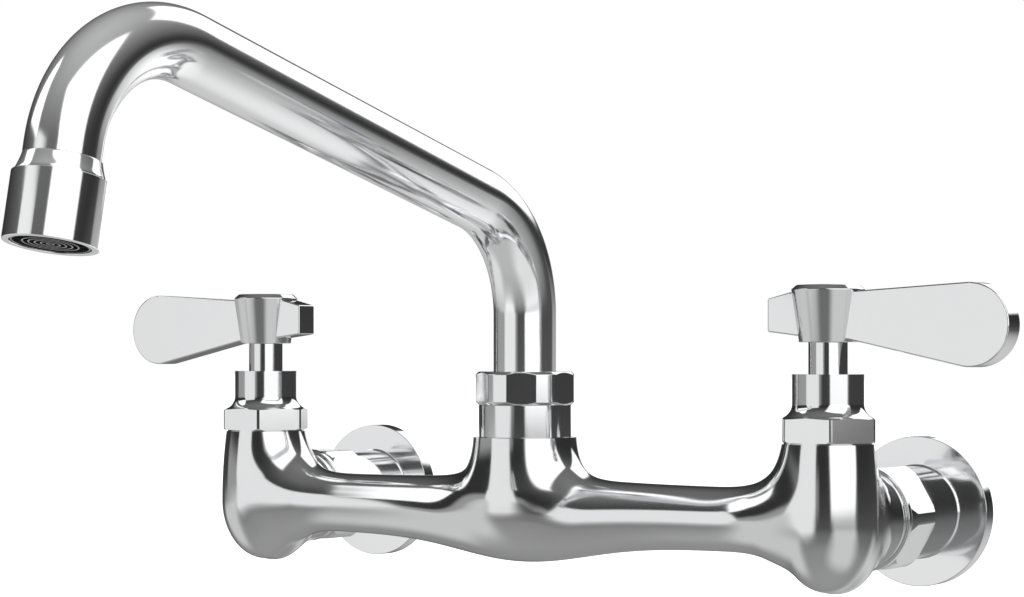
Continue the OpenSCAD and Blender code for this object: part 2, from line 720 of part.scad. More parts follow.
module spindle(side) color("silver") at_valve(side) difference() {
    union() {
        translate([-disc_r + over / 2, -tongue_t / 2, turning_top - slot_depth + play])
            cube([2 * disc_r - over, tongue_t, foot_level + foot_h - turning_top + slot_depth - play]);
        rod(foot_r, foot_level, foot_level + foot_h);
        rod(spindle_r, foot_level, spindle_shoulder);
        rod(stem_r, spindle_shoulder, hub_bottom);
        translate([0, 0, hub_bottom]) cylinder(r = spline_r, h = spline_len, $fn = spline_sides);
    }
    for (level = spindle_ring_levels) ring_groove(spindle_r, ring_depth, level, ring_r);
    ring(spindle_r + over, spindle_r - clip_groove_depth, cartridge_top, clip_level + clip_t + play);
    rod(screw_r + fit, head_level - screw_len - tapped_depth, spline_top + over);
}
module spindle_rings(side) color("black") at_valve(side)
    for (level = spindle_ring_levels) torus(spindle_r - ring_r, ring_r, level);
module spindle_clip(side) color("darkgray") at_valve(side) difference() {
    ring(clip_r, spindle_r - clip_groove_depth + fit, clip_level, clip_level + clip_t);
    translate([0, -clip_r / 4, clip_level - over]) cube([2 * clip_r, clip_r / 2, clip_t + 2 * over]);
}

// Outline of the lever and its tail, seen from the front. Distances run outwards from the stem.
lever_centre = [lever_reach - lever_end_r, hub_bottom + lever_end_rise];
lever_high_root = [hub_rim_r, hub_bottom + lever_root_high];
lever_low_root = [hub_bottom_r, hub_bottom + lever_root_low];
// Point where a line from p touches the lever's end, on its upper (1) or lower (-1) side
function touch(p, way) =
    let(
        gap = lever_centre - p,
        turn = atan2(gap.y, gap.x) + way * asin(lever_end_r / norm(gap)),
        reach = sqrt(gap * gap - lever_end_r * lever_end_r)
    )
    p + reach * [cos(turn), sin(turn)];
module lever_outline() {
    translate(lever_centre) circle(r = lever_end_r);
    polygon([
        [0, lever_low_root.y], lever_low_root, touch(lever_low_root, -1), lever_centre,
        touch(lever_high_root, 1), lever_high_root, [0, lever_high_root.y]
    ]);
}
module tail_outline() polygon([
    [0, hub_bottom + tail_root_low], [-hub_bottom_r, hub_bottom + tail_root_low],
    [-tail_reach, hub_bottom + tail_end_low], [-tail_reach, hub_bottom + tail_end_high],
    [-hub_rim_r, hub_bottom + tail_root_high], [0, hub_bottom + tail_root_high]
]);
// A plate of the lever's thickness with bevelled edges, from an outline that is drawn in X and Z
module bevelled_plate() hull() {
    plate(lever_t - 2 * lever_bevel) children();
    plate(lever_t) offset(delta = -lever_bevel) children();
}
module plate(t) rotate([90, 0, 0]) translate([0, 0, -t / 2]) linear_extrude(t) children();
module handle(side) color("gainsboro") at_valve(side) mirror([side == left ? 1 : 0, 0, 0]) difference() {
    union() {
        cone(hub_bottom_r, hub_rim_r, hub_bottom, hub_rim);
        cone(hub_rim_r, hub_rim_r - hub_bevel_w, hub_rim, hub_top);
        bevelled_plate() lever_outline();
        bevelled_plate() tail_outline();
    }
    translate([0, 0, hub_bottom - over])
        cylinder(r = spline_r + fit, h = web_level - hub_bottom + over, $fn = spline_sides);
    rod(screw_r + loose, hub_bottom, head_level + over);
    rod(head_bore_r, head_level, hub_top);
    rod(button_r + fit, button_level, hub_top + over);
}
module handle_screw(side) color("darkgray") at_valve(side) difference() {
    union() {
        rod(screw_head_r, head_level, head_level + screw_head_h);
        rod(screw_r, head_level - screw_len, head_level);
    }
    for (turn = [0, 90]) rotate([0, 0, turn])
        translate([-screw_head_r / 2, -screw_slot_w / 2, head_level + screw_head_h - screw_slot_depth])
            cube([screw_head_r, screw_slot_w, screw_slot_depth + over]);
}
module index_button(side) color(side == left ? "firebrick" : "royalblue") at_valve(side) {
    rod(button_r, button_level, button_level + button_t - button_bevel);
    cone(button_r, button_r - button_bevel, button_level + button_t - button_bevel, button_level + button_t);
    ring(head_bore_r - fit, head_bore_r - button_skirt_t, button_level - button_skirt, button_level);
}

module spout_socket() color("silver") at_spout() difference() {
    union() {
        rod(socket_thread_r, socket_foot, spigot_top);
        rod(socket_collar_r, neck_top, spigot_level);
    }
    rod(socket_mouth_r, socket_foot - over, spigot_top);
    rod(socket_bore_r, socket_foot + socket_floor_t, spigot_top + over);
}
module spout_nut() color("gainsboro") at_spout() difference() {
    bevel_r = spout_nut_r - spout_nut_bevel;
    intersection() {
        union() {
            cone(bevel_r, spout_nut_r, spigot_level, spigot_level + spout_nut_bevel);
            rod(spout_nut_r, spigot_level + spout_nut_bevel, spout_nut_top - spout_nut_bevel);
            cone(spout_nut_r, bevel_r, spout_nut_top - spout_nut_bevel, spout_nut_top);
        }
        rotate([0, 0, 30])
            prism(spout_nut_flat_share * spout_nut_r, spigot_level - over, spout_nut_top + over);
    }
    rod(socket_thread_r + fit, spigot_level - over, glide_top);
    rod(tube_r + loose, spigot_level, spout_nut_top + over);
}
module glide_ring() color("white") at_spout()
    ring(socket_thread_r - loose, tube_r + loose, sleeve_top + play, glide_top);

// A bend of the spout, from the origin and straight up into a turn towards -Y, and what follows it
module bend(r, turn) translate([0, -bend_r, 0]) rotate([90, 0, 90])
    rotate_extrude(angle = turn) translate([bend_r, 0]) circle(r = r);
module after_bend(turn) translate([0, -bend_r * (1 - cos(turn)), bend_r * sin(turn)])
    rotate([turn, 0, 0]) children();
module spout_route(r, foot, end) at_spout() {
    rod(r + seam_step, foot, upright_top + seam_lap);
    translate([0, 0, upright_top]) {
        bend(r, first_turn);
        after_bend(first_turn) {
            rod(r + seam_step, -seam_lap, run_len + seam_lap);
            translate([0, 0, run_len]) {
                bend(r, last_turn);
                after_bend(last_turn) rod(r + seam_step, -seam_lap, end);
            }
        }
    }
}
// Places a shape at the end of the last bend, with its Z axis down the outlet
module at_outlet() at_spout() translate([0, 0, upright_top]) after_bend(first_turn)
    translate([0, 0, run_len]) after_bend(last_turn) children();
module spout_tube() color("silver") difference() {
    spout_route(tube_r, sleeve_foot, tube_end);
    spout_route(tube_r - tube_wall, sleeve_foot - over, tube_end + over);
}
module swivel_sleeve() color("peru") at_spout() difference() {
    union() {
        rod(sleeve_r, sleeve_foot, sleeve_top);
        rod(sleeve_flange_r, sleeve_top - sleeve_flange_t, sleeve_top);
    }
    rod(tube_r + seam_step, sleeve_foot - over, sleeve_top + over);
    for (level = spout_ring_levels) ring_groove(sleeve_r, spout_ring_depth, level, spout_ring_r);
}
module spout_rings() color("black") at_spout()
    for (level = spout_ring_levels) torus(sleeve_r - spout_ring_r, spout_ring_r, level);

module outlet_ferrule() color("silver") at_outlet() difference() {
    union() {
        rod(tube_r - tube_wall, tube_end - ferrule_grip, tube_end);
        cone(tube_r, ferrule_r, tube_end, outlet_leg);
        rod(aerator_thread_r - fit, outlet_leg, thread_end);
    }
    rod(ferrule_water_r, tube_end - ferrule_grip - over, thread_end + over);
}
module aerator_housing() color("gainsboro") at_outlet() difference() {
    union() {
        cone(aerator_r - aerator_bevel, aerator_r, outlet_leg, outlet_leg + aerator_bevel);
        rod(aerator_r, outlet_leg + aerator_bevel, mouth_end - aerator_bevel);
        cone(aerator_r, aerator_r - aerator_bevel, mouth_end - aerator_bevel, mouth_end);
    }
    rod(aerator_thread_r, outlet_leg - over, mouth_level);
    rod(mouth_r, mouth_level - over, mouth_end + over);
}
module aerator_gasket() color("black") at_outlet()
    ring(aerator_thread_r - fit, ferrule_water_r, thread_end, screen_level);
module aerator_screen() color("darkgray") at_outlet() difference() {
    rod(aerator_thread_r - fit, screen_level, insert_level);
    rod(screen_hole_r, screen_level - over, insert_level + over);
    for (row = [1:3]) for (i = [1:6 * row]) rotate([0, 0, i * 60 / row])
        translate([row * screen_pitch, 0, 0]) rod(screen_hole_r, screen_level - over, insert_level + over);
}
module aerator_insert() color("dimgray") at_outlet() {
    ring(aerator_thread_r - fit, insert_rim_r, insert_level, mouth_level);
    ring(mouth_r - fit, insert_rim_r, mouth_level, insert_ring_end);
    for (i = [0:insert_rings - 1])
        let(r = insert_first_r + i * insert_pitch)
        ring(r + insert_wall / 2, r - insert_wall / 2, insert_ring_end - insert_ring_h, insert_ring_end);
    for (i = [0:insert_ribs - 1]) rotate([0, 0, i * 360 / insert_ribs])
        translate([insert_first_r, -insert_wall / 2, insert_ring_end - insert_ring_h])
            cube([insert_rim_r + insert_wall - insert_first_r, insert_wall, insert_ring_h / 2]);
}

faucet_body();
wall_flange(left);  // left_wall_flange
wall_flange(right);  // right_wall_flange
coupling_nut(left);  // left_coupling_nut
coupling_nut(right);  // right_coupling_nut
inlet_tail(left);  // left_inlet_tail
inlet_tail(right);  // right_inlet_tail
inlet_washer(left);  // left_inlet_washer
inlet_washer(right);  // right_inlet_washer
bonnet(left);  // left_bonnet
bonnet(right);  // right_bonnet
cartridge_body(left);  // left_cartridge_body
cartridge_body(right);  // right_cartridge_body
cartridge_ring(left);  // left_cartridge_ring
cartridge_ring(right);  // right_cartridge_ring
seat_seal(left);  // left_seat_seal
seat_seal(right);  // right_seat_seal
fixed_disc(left);  // left_fixed_disc
fixed_disc(right);  // right_fixed_disc
turning_disc(left);  // left_turning_disc
turning_disc(right);  // right_turning_disc
spindle(left);  // left_spindle
spindle(right);  // right_spindle
spindle_rings(left);  // left_spindle_rings
spindle_rings(right);  // right_spindle_rings
spindle_clip(left);  // left_spindle_clip
spindle_clip(right);  // right_spindle_clip
handle(left);  // left_handle
handle(right);  // right_handle
handle_screw(left);  // left_handle_screw
handle_screw(right);  // right_handle_screw
index_button(left);  // left_index_button
index_button(right);  // right_index_button
spout_socket();
spout_nut();
glide_ring();
spout_tube();
swivel_sleeve();
spout_rings();
outlet_ferrule();
aerator_housing();
aerator_gasket();
aerator_screen();
aerator_insert();
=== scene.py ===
# Wall-mounted faucet in polished chrome: two lever valves on a cast body, with a swinging spout.
# Shapes are worked out in millimetres from the wall's middle point and become metres at the end.
import math
from collections import Counter

import bmesh
import bpy
import numpy as np
from mathutils import Matrix, Vector


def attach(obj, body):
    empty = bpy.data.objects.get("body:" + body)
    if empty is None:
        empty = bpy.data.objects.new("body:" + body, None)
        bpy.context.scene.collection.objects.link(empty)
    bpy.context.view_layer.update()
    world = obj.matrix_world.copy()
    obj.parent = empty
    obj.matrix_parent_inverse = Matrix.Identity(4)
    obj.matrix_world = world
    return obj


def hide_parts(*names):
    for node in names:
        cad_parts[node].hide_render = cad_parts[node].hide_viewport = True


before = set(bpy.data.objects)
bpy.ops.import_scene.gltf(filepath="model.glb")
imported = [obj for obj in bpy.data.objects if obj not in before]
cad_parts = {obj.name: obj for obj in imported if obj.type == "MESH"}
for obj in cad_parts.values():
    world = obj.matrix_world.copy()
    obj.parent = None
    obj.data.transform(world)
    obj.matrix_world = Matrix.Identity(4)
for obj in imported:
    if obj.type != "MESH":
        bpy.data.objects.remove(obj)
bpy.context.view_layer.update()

MM = 0.001
SAME_PLACE, ON_PLANE = 0.0001, 0.00001
LEFT, RIGHT = -1, 1
SIDES = (("left", LEFT), ("right", RIGHT))

# Places shared by several pieces, and the play between pieces that fit into each other
HALF = 101.6
WALL = 62.5
NECK_TOP = 21.8
PLAY = 0.05

# Parts of a full round, the turns from which an edge is broken or shaded sharp, the pull of large
# faces on the shading, and the widths of broken edges
ROUND, FINE_ROUND, RING_ROUND = 96, 128, 72
SHARP_TURN, FLARE_SHARP_TURN, CREASE, LEVER_CREASE = 20, 40, 35, 30
FACE_PULL = 80
RING_EDGE, NUT_EDGE, BONNET_EDGE, STEM_EDGE, LEVER_EDGE = 0.22, 0.14, 0.16, 0.15, 0.45
HUB_EDGE, BUTTON_EDGE, COLLAR_EDGE, FLARE_EDGE = 0.2, 0.12, 0.18, 0.1

# Cast body
ARM_W, ARM_H, ARM_DROP = 9.3, 9.2, 0.35
BELLY_W, BELLY_H, BELLY_DROP, BELLY_LEN = 5.0, 3.8, 2.4, 31.5
POST_R, POST_FOOT = 15.45, 13.0
CHAMBER_R, CHAMBER_DROP, CHAMBER_FOOT, CHAMBER_RISE = 14.1, 0.7, 18.9, 52.0
BOSS_R, BOSS_START, BOSS_FRONT = 12.6, 7.0, 1.3
COVE_START, BEAD_START, COVE_END_R = 9.4, 18.2, 14.5
BEAD_R, BEAD_END, GROOVE_R, RING_START, RING_R, BOSS_REACH = 14.6, 19.6, 14.0, 20.2, 15.25, 22.0

# Blends of the cast body: their widths above and below, and where they start and fade out
BLEND_TOP, BLEND_LOW, BLEND_END_TOP, BLEND_END_LOW = 20.5, 3.5, 24.8, 20.0
BLEND_TURN, BLEND_TURN_SHARE = 13.0, 0.65
BLEND_FADE, FADE_SHIFT, FADE_STRETCH = 18.0, 2, 14
BLEND_BOSS, BLEND_BOSS_FROM, BLEND_BOSS_OVER = 22.0, 0.635, 1.11
NO_BLEND = 0.01

# Rough blank of the cast body, and how it is laid on its skin
BLANK_PARTS, BLANK_EXTRA, BLANK_CHAMBER_LESS = 48, 0.5, 0.8
BLANK_NECK, BLANK_NECK_MIDDLE, BLANK_BOSS, BLANK_BALL_DROP = 27, 14, 24, 1
BLANK_POST_FOOT, BLANK_CHAMBER_FOOT = 0.95, 1.3
BLANK_TOP, BLANK_BACK = 26, 22.5
SKIN_CELL, SLOPE_STEP, LEAST_SLOPE, LONGEST_MOVE = 1.0, 0.01, 0.05, 1.5
FIRST_ROUNDS, NEXT_ROUNDS, SMOOTHINGS, STROKES = 6, 4, 4, 3
ON_SKIN = 0.9

# Couplings and wall flanges, along an inlet from the valve axis
NUT_START, NUT_END, NUT_R, NUT_FLAT = 22.05, 37.15, 15.9, 14.5
NUT_FRONT_R, NUT_FRONT_LEN, NUT_BACK_R, NUT_BACK_LEN = 15.2, 2.7, 15.2, 1.1
NUT_LIP, NUT_BORE, TAIL_HOLE = 3.4, 12.6, 9.65
BARREL_R, BARREL_STEP, BARREL_START = 13.6, 0.3, 29.85
FLANGE_R, FLANGE_FACE = 22.3, 57.5
WATER_R, INLET_R, INLET_DEPTH, INLET_MOUTH = 6.5, 9.15, 15.5, 1
THREAD_R, THREAD_PITCH = 10.1, 1.814

# Bonnets and stems
WASHER_R, WASHER_SINK, HEX_LEVEL, HEX_TOP = 12.3, 0.3, 22.3, 28.8
HEX_FLAT, HEX_CORNER, HEX_BREAK = 12.6, 14.3, 0.5
COLLAR_R, COVE_R, COVE_PARTS, BONNET_TOP, STEM_R = 10.0, 4.2, 12, 41.2, 5.47
FOOT_TIP, FOOT_LEVEL, FOOT_TOP, FOOT_R = 8.4, 13, 14.2, 7.92
SPINDLE_R, SPINDLE_TOP, HUB_LEVEL, SPLINE_R, SPLINE_TOP = 6.95, 33.4, 50.1, 4.3, 58

# Handles, measured outwards from the stem
HUB_LOW_R, HUB_RIM_R, HUB_RIM, HUB_TOP, HUB_TOP_R = 8.05, 10.25, 64.7, 66.0, 8.75
LEVER_T, LEVER_TIP, LEVER_END_R, LEVER_END_LEVEL, LEVER_END_PARTS = 7.7, 55.1, 11.4, 54.7, 40
LEVER_LOW, LEVER_HIGH, LEVER_ROOT = (8.05, 50.8), (10.25, 64.2), 1
TAIL_REACH, TAIL_ROOT, TAIL_END = 17.0, (51.9, 64.0), (53.0, 62.3)
BUTTON_R, BUTTON_LOW, BUTTON_TOP, BUTTON_CROWN, SEAT_TOP = 6.5, 64.1, 65.4, 65.9, 68
BUTTON_SHANK_R, BUTTON_SHANK, BUTTON_ROUND = 4.4, 1.2, 0.5
DISH_EDGE, DISH_FOOT, DISH_DEPTH = 1.6, 2, 0.25

# Spout
PIPE_R, PIPE_WALL, BEND_R, BEND_STEP = 9.525, 1.2, 35.1, 2
CORNER_LEVEL, OUTLET_CORNER = 85.76, 186.75
FIRST_TURN, LAST_TURN, RISE = 76.06, 92.86, 13.94
SLEEVE_FOOT, NEAR_STOP, FAR_STOP, OUTLET_STOPS = 17.0, 1, 3, [0.8, 2.0, 2.8]
SOCKET_R, SOCKET_TOP, SOCKET_BORE, SOCKET_SINK = 13.96, 31.5, 10, 4
SPIGOT_R, SPIGOT_TOP = 12.9, 37.5
SPOUT_NUT_R, SPOUT_NUT_TOP, SPOUT_NUT_BEVEL, SPOUT_NUT_FLAT = 14.9, 41.5, 0.9, 14.27
SPOUT_NUT_ROOF, PIPE_PLAY = 1.5, 0.2

# Flare and aerator, measured down the outlet from the end of the last bend
OUTLET_LEG, FLARE_LEN = 7.4, 4.4
FLARE_CURVE = (
    (9.61, 3.4), (9.84, 4.3), (10.11, 5.2), (10.4, 6.1), (10.66, 6.7), (10.85, OUTLET_LEG),
)
FLARE_START, FLARE_RIM, FLARE_BORE, FLARE_THREAD_R, FLARE_END = 0.8, 3.0, 1.2, 10.3, 14
SHELL_R, SHELL_LEN, SHELL_THREAD_R, MOUTH_R, MOUTH_LIP = 11.44, 16.6, 10.4, 9.7, 1.4
CORE_EDGE_R, CORE_RIM_R, CORE_RECESS, CORE_DEPTH, CORE_PLAY = 9.35, 9.05, 0.3, 5, 0.1
CORE_RINGS, CORE_PITCH, CORE_FIRST_R = 5, 1.46, 0.8
CORE_WALL, CORE_HEIGHT, CORE_RIBS = 0.36, 3.0, 12


class Sum:
    """A number somewhere in a material; sums and products of it add the Math nodes."""

    def __init__(self, finish, socket):
        self.finish, self.socket = finish, socket

    def math(self, operation, *others):
        numbers = dict(enumerate((self, *others)))
        return self.finish.node("ShaderNodeMath", {"operation": operation}, numbers)

    def __add__(self, other):
        return self.math("ADD", other)

    def __mul__(self, other):
        return self.math("MULTIPLY", other)

    def __sub__(self, other):
        return self.math("SUBTRACT", other)

    def __truediv__(self, other):
        return self.math("DIVIDE", other)

    def __rsub__(self, other):
        return self.finish.node("ShaderNodeMath", {"operation": "SUBTRACT"}, {0: other, 1: self})

    __radd__ = __add__
    __rmul__ = __mul__


class Finish:
    """The node tree of one material, or of the studio round the faucet."""

    def __init__(self, owner):
        owner.use_nodes = True
        self.owner = owner
        self.tree = owner.node_tree
        self.tree.nodes.clear()

    def node(self, kind, settings=None, sockets=None, out=0):
        made = self.tree.nodes.new(kind)
        for key, value in (settings or {}).items():
            if key == "stops":
                ramp = made.color_ramp
                while len(ramp.elements) > 1:
                    ramp.elements.remove(ramp.elements[-1])
                for i, (place, colour) in enumerate(value):
                    stop = ramp.elements[0] if i == 0 else ramp.elements.new(place)
                    stop.position = place
                    stop.color = colour
            elif key == "ramp":
                made.color_ramp.interpolation = value
            else:
                setattr(made, key, value)
        for key, value in (sockets or {}).items():
            if isinstance(value, Sum):
                self.tree.links.new(value.socket, made.inputs[key])
            else:
                made.inputs[key].default_value = value
        return Sum(self, made.outputs[out]) if made.outputs else made

    def steps(self, value, low, high):
        """0 below low, 1 above high, and a smooth rise between them."""
        return self.node(
            "ShaderNodeMapRange",
            {"interpolation_type": "SMOOTHSTEP"},
            {"Value": value, "From Min": low, "From Max": high},
        )

    def mix(self, factor, first, second):
        sockets = {0: factor, 6: first, 7: second}
        return self.node("ShaderNodeMix", {"data_type": "RGBA"}, sockets, out=2)

    def dot(self, first, second):
        settings = {"operation": "DOT_PRODUCT"}
        return self.node("ShaderNodeVectorMath", settings, {0: first, 1: second}, out=1)

    def place(self):
        """Where a point of the piece is, in metres."""
        return self.node("ShaderNodeTexCoord", out=3)

    def noise(self, place, size, detail):
        sockets = {"Vector": place, "Scale": size, "Detail": detail}
        return self.node("ShaderNodeTexNoise", None, sockets)

    def bump(self, height, depth, strength=1.0):
        sockets = {"Strength": strength, "Distance": depth, "Height": height}
        return self.node("ShaderNodeBump", None, sockets)

    def surface(self, looks):
        """Closes a material with one surface of these looks."""
        shader = self.node("ShaderNodeBsdfPrincipled", None, looks)
        self.node("ShaderNodeOutputMaterial", None, {"Surface": shader})
        return self.owner


def grey(level):
    return (level, level, level, 1)


# Finishes. Sizes of grain are repeats in a metre, and depths are metres.
PLATING, CLOUDED_PLATING = (0.955, 0.957, 0.96), (0.940675, 0.94743, 0.96)
HAZE_SIZE, CLOUD_SIZE, STROKE_SIZE = 420.0, 34.0, 1600.0
CLOUD_FROM, CLOUD_FULL = 0.45, 0.8
HAZE_DULLS, CLOUD_DULLS = 0.012, 0.015
TARNISH_SPREAD, TARNISH_FROM, TARNISH_FULL = 12, 0.35, 0.7
PATCH_SPREAD, PATCH_FROM, PATCH_FULL = 20, 0.3, 0.75
METAL_GRAIN, METAL_GRAIN_DULLS = 0.00002, 0.12
MOULD_GRAIN, MOULD_GRAIN_DULLS = 0.00003, 0.1


def chrome(name, gloss, wave_size, wave_depth, scratch):
    """Mirror plating over polished metal: slow waves from the polishing wheel, and a faint haze."""
    finish = Finish(bpy.data.materials.new(name))
    place = finish.place()
    haze = finish.noise(place, HAZE_SIZE, 4.0)
    cloud = finish.noise(place, CLOUD_SIZE, 3.0)
    dulled = finish.steps(cloud, CLOUD_FROM, CLOUD_FULL)
    height = finish.noise(place, wave_size, 1.0) + finish.noise(place, STROKE_SIZE, 2.0) * scratch
    return finish.surface({
        "Base Color": finish.mix(cloud, (*PLATING, 1), (*CLOUDED_PLATING, 1)),
        "Metallic": 1.0,
        "Roughness": gloss + haze * HAZE_DULLS + dulled * CLOUD_DULLS,
        "Normal": finish.bump(height, wave_depth),
    })


def metal(name, light, dark, rough, size):
    """Turned or stamped metal that isn't plated."""
    finish = Finish(bpy.data.materials.new(name))
    place = finish.place()
    grain = finish.noise(place, size, 6.0)
    tarnish = finish.noise(place, size / TARNISH_SPREAD, 3.0)
    dulled = finish.steps(tarnish, TARNISH_FROM, TARNISH_FULL)
    return finish.surface({
        "Base Color": finish.mix(dulled, (*light, 1), (*dark, 1)),
        "Metallic": 1.0,
        "Roughness": rough + grain * METAL_GRAIN_DULLS,
        "Normal": finish.bump(grain, METAL_GRAIN, 0.5),
    })


def moulded(name, light, dark, rough, size, coat=0.0):
    """Rubber, plastic or fired ceramic, with a fine grain and a faintly uneven colour."""
    finish = Finish(bpy.data.materials.new(name))
    place = finish.place()
    grain = finish.noise(place, size, 5.0)
    patch = finish.noise(place, size / PATCH_SPREAD, 2.0)
    darker = finish.steps(patch, PATCH_FROM, PATCH_FULL)
    return finish.surface({
        "Base Color": finish.mix(darker, (*light, 1), (*dark, 1)),
        "Roughness": rough + grain * MOULD_GRAIN_DULLS,
        "Normal": finish.bump(grain, MOULD_GRAIN, 0.4),
        "Coat Weight": coat,
    })


# Name, gloss, size and depth of the waves, and strength of the strokes
body_chrome = chrome("cast_body_chrome", 0.1, 55.0, 0.000012, 0.006)
pipe_chrome = chrome("spout_pipe_chrome", 0.1, 38.0, 0.000012, 0.004)
turned_chrome = chrome("turned_fitting_chrome", 0.09, 90.0, 0.000004, 0.01)
lever_chrome = chrome("forged_lever_chrome", 0.09, 48.0, 0.000008, 0.006)

# Name, light and dark colour, roughness, size of the grain, and a clear coat where there is one
turned_brass = metal("turned_brass", (0.78, 0.57, 0.28), (0.66, 0.45, 0.2), 0.22, 900.0)
clip_steel = metal("spring_steel", (0.62, 0.62, 0.63), (0.5, 0.5, 0.52), 0.28, 1200.0)
disc_ceramic = moulded(
    "fired_disc_ceramic", (0.9, 0.89, 0.85), (0.84, 0.83, 0.79), 0.18, 1500.0, 0.3
)
seal_rubber = moulded("seal_rubber", (0.03, 0.03, 0.032), (0.018, 0.018, 0.02), 0.55, 1300.0)
glide_nylon = moulded("glide_nylon", (0.86, 0.86, 0.84), (0.78, 0.78, 0.76), 0.4, 1000.0)
core_plastic = moulded(
    "aerator_core_plastic", (0.022, 0.022, 0.023), (0.016, 0.016, 0.017), 0.12, 1400.0, 0.8
)
hot_enamel = moulded(
    "hot_button_enamel", (0.62, 0.03, 0.03), (0.54, 0.02, 0.022), 0.22, 1100.0, 0.6
)
cold_enamel = moulded(
    "cold_button_enamel", (0.02, 0.1, 0.5), (0.015, 0.075, 0.42), 0.22, 1100.0, 0.6
)


# Tools for shaping

def slide(x=0.0, y=0.0, z=0.0):
    return Matrix.Translation((x, y, z))


def turn(angle, axis):
    return Matrix.Rotation(math.radians(angle), 4, axis)


def at_valve(side):
    return slide(side * HALF, -WALL)


def at_inlet(side):
    return at_valve(side) @ turn(-90, "X")


AT_SPOUT = slide(0, -WALL)


def points_of(geom):
    return [g for g in geom if isinstance(g, bmesh.types.BMVert)]


def edges_of(geom):
    return [g for g in geom if isinstance(g, bmesh.types.BMEdge)]


def turned(profile, steps=ROUND):
    """Turns a profile of (radius, level) points round the Z axis. One that starts and ends on the
    axis makes a solid, and any other is closed into a ring."""
    bm = bmesh.new()
    points = [bm.verts.new((r, 0, z)) for r, z in profile]
    edges = [bm.edges.new(pair) for pair in zip(points, points[1:])]
    if profile[0][0] > 0 or profile[-1][0] > 0:
        edges.append(bm.edges.new((points[-1], points[0])))
    bmesh.ops.spin(
        bm, geom=points + edges, cent=(0, 0, 0), axis=(0, 0, 1), angle=math.tau, steps=steps,
        use_merge=True,
    )
    bmesh.ops.remove_doubles(bm, verts=bm.verts, dist=SAME_PLACE)
    bmesh.ops.recalc_face_normals(bm, faces=bm.faces)
    return bm


def soften(bm, width, sharp_turn=SHARP_TURN, segments=2):
    """Breaks the sharp edges as a deburring pass does."""
    sharp = [
        e for e in bm.edges
        if len(e.link_faces) == 2 and e.calc_face_angle() > math.radians(sharp_turn)
    ]
    bmesh.ops.bevel(
        bm, geom=sharp, offset=width, offset_type="OFFSET", segments=segments, profile=0.5,
        affect="EDGES", material=-1, clamp_overlap=True,
    )
    return bm


def cut_open(bm, at, outwards):
    """Cuts away what lies beyond a plane, and gives the edges of the cut."""
    cut = bmesh.ops.bisect_plane(
        bm, geom=bm.verts[:] + bm.edges[:] + bm.faces[:], dist=ON_PLANE,
        plane_co=at, plane_no=outwards, clear_outer=True,
    )
    return edges_of(cut["geom_cut"])


def cut_flats(bm, distance, first_angle, count=6):
    """Mills flats round the Z axis and closes each cut."""
    for i in range(count):
        angle = math.radians(first_angle) + math.tau * i / count
        across = Vector((math.cos(angle), math.sin(angle), 0))
        bmesh.ops.edgeloop_fill(bm, edges=cut_open(bm, across * distance, across))
    bmesh.ops.recalc_face_normals(bm, faces=bm.faces)


def as_object(bm, name):
    mesh = bpy.data.meshes.new(name)
    bm.to_mesh(mesh)
    bm.free()
    made = bpy.data.objects.new(name, mesh)
    bpy.context.scene.collection.objects.link(made)
    return made


def discard(made):
    spare = made.data
    bpy.data.objects.remove(made)
    bpy.data.meshes.remove(spare)


def applied(made):
    """The object's mesh with its modifiers worked in, as a new bmesh."""
    bpy.context.view_layer.update()
    depsgraph = bpy.context.evaluated_depsgraph_get()
    bm = bmesh.new()
    bm.from_mesh(made.evaluated_get(depsgraph).to_mesh())
    discard(made)
    return bm


def joined(shape, others, operation="UNION"):
    """Joins, or with DIFFERENCE cuts away, closed shapes."""
    for other in others:
        base, tool = as_object(shape, "blank"), as_object(other, "tool")
        join = base.modifiers.new("join", "BOOLEAN")
        join.operation = operation
        join.solver = "EXACT"
        join.object = tool
        shape = applied(base)
        discard(tool)
    return shape


def piece(bm, name, place, finish, body, stands_for, crease=CREASE, weighted=True):
    """Brings a shape to its place in metres and hands it to the body that carries it."""
    bm.transform(Matrix.Scale(MM, 4) @ place)
    bmesh.ops.recalc_face_normals(bm, faces=bm.faces)
    for face in bm.faces:
        face.smooth = True
    made = as_object(bm, name)
    made.data.set_sharp_from_angle(angle=math.radians(crease))
    made.data.materials.append(finish)
    if weighted:
        weight = made.modifiers.new("even_shading", "WEIGHTED_NORMAL")
        weight.keep_sharp = True
        weight.weight = FACE_PULL
    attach(made, body)
    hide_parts(stands_for)
    return made


# Cast body: its skin is where skin_field is zero

def ease(t):
    c = np.clip(t, 0, 1)
    return c * c * (3 - 2 * c)


def soft_min(a, b, k):
    h = np.maximum(k - np.abs(a - b), 0) / k
    return np.minimum(a, b) - h ** 3 * k / 6


def long(*parts):
    return np.sqrt(sum(part * part for part in parts))


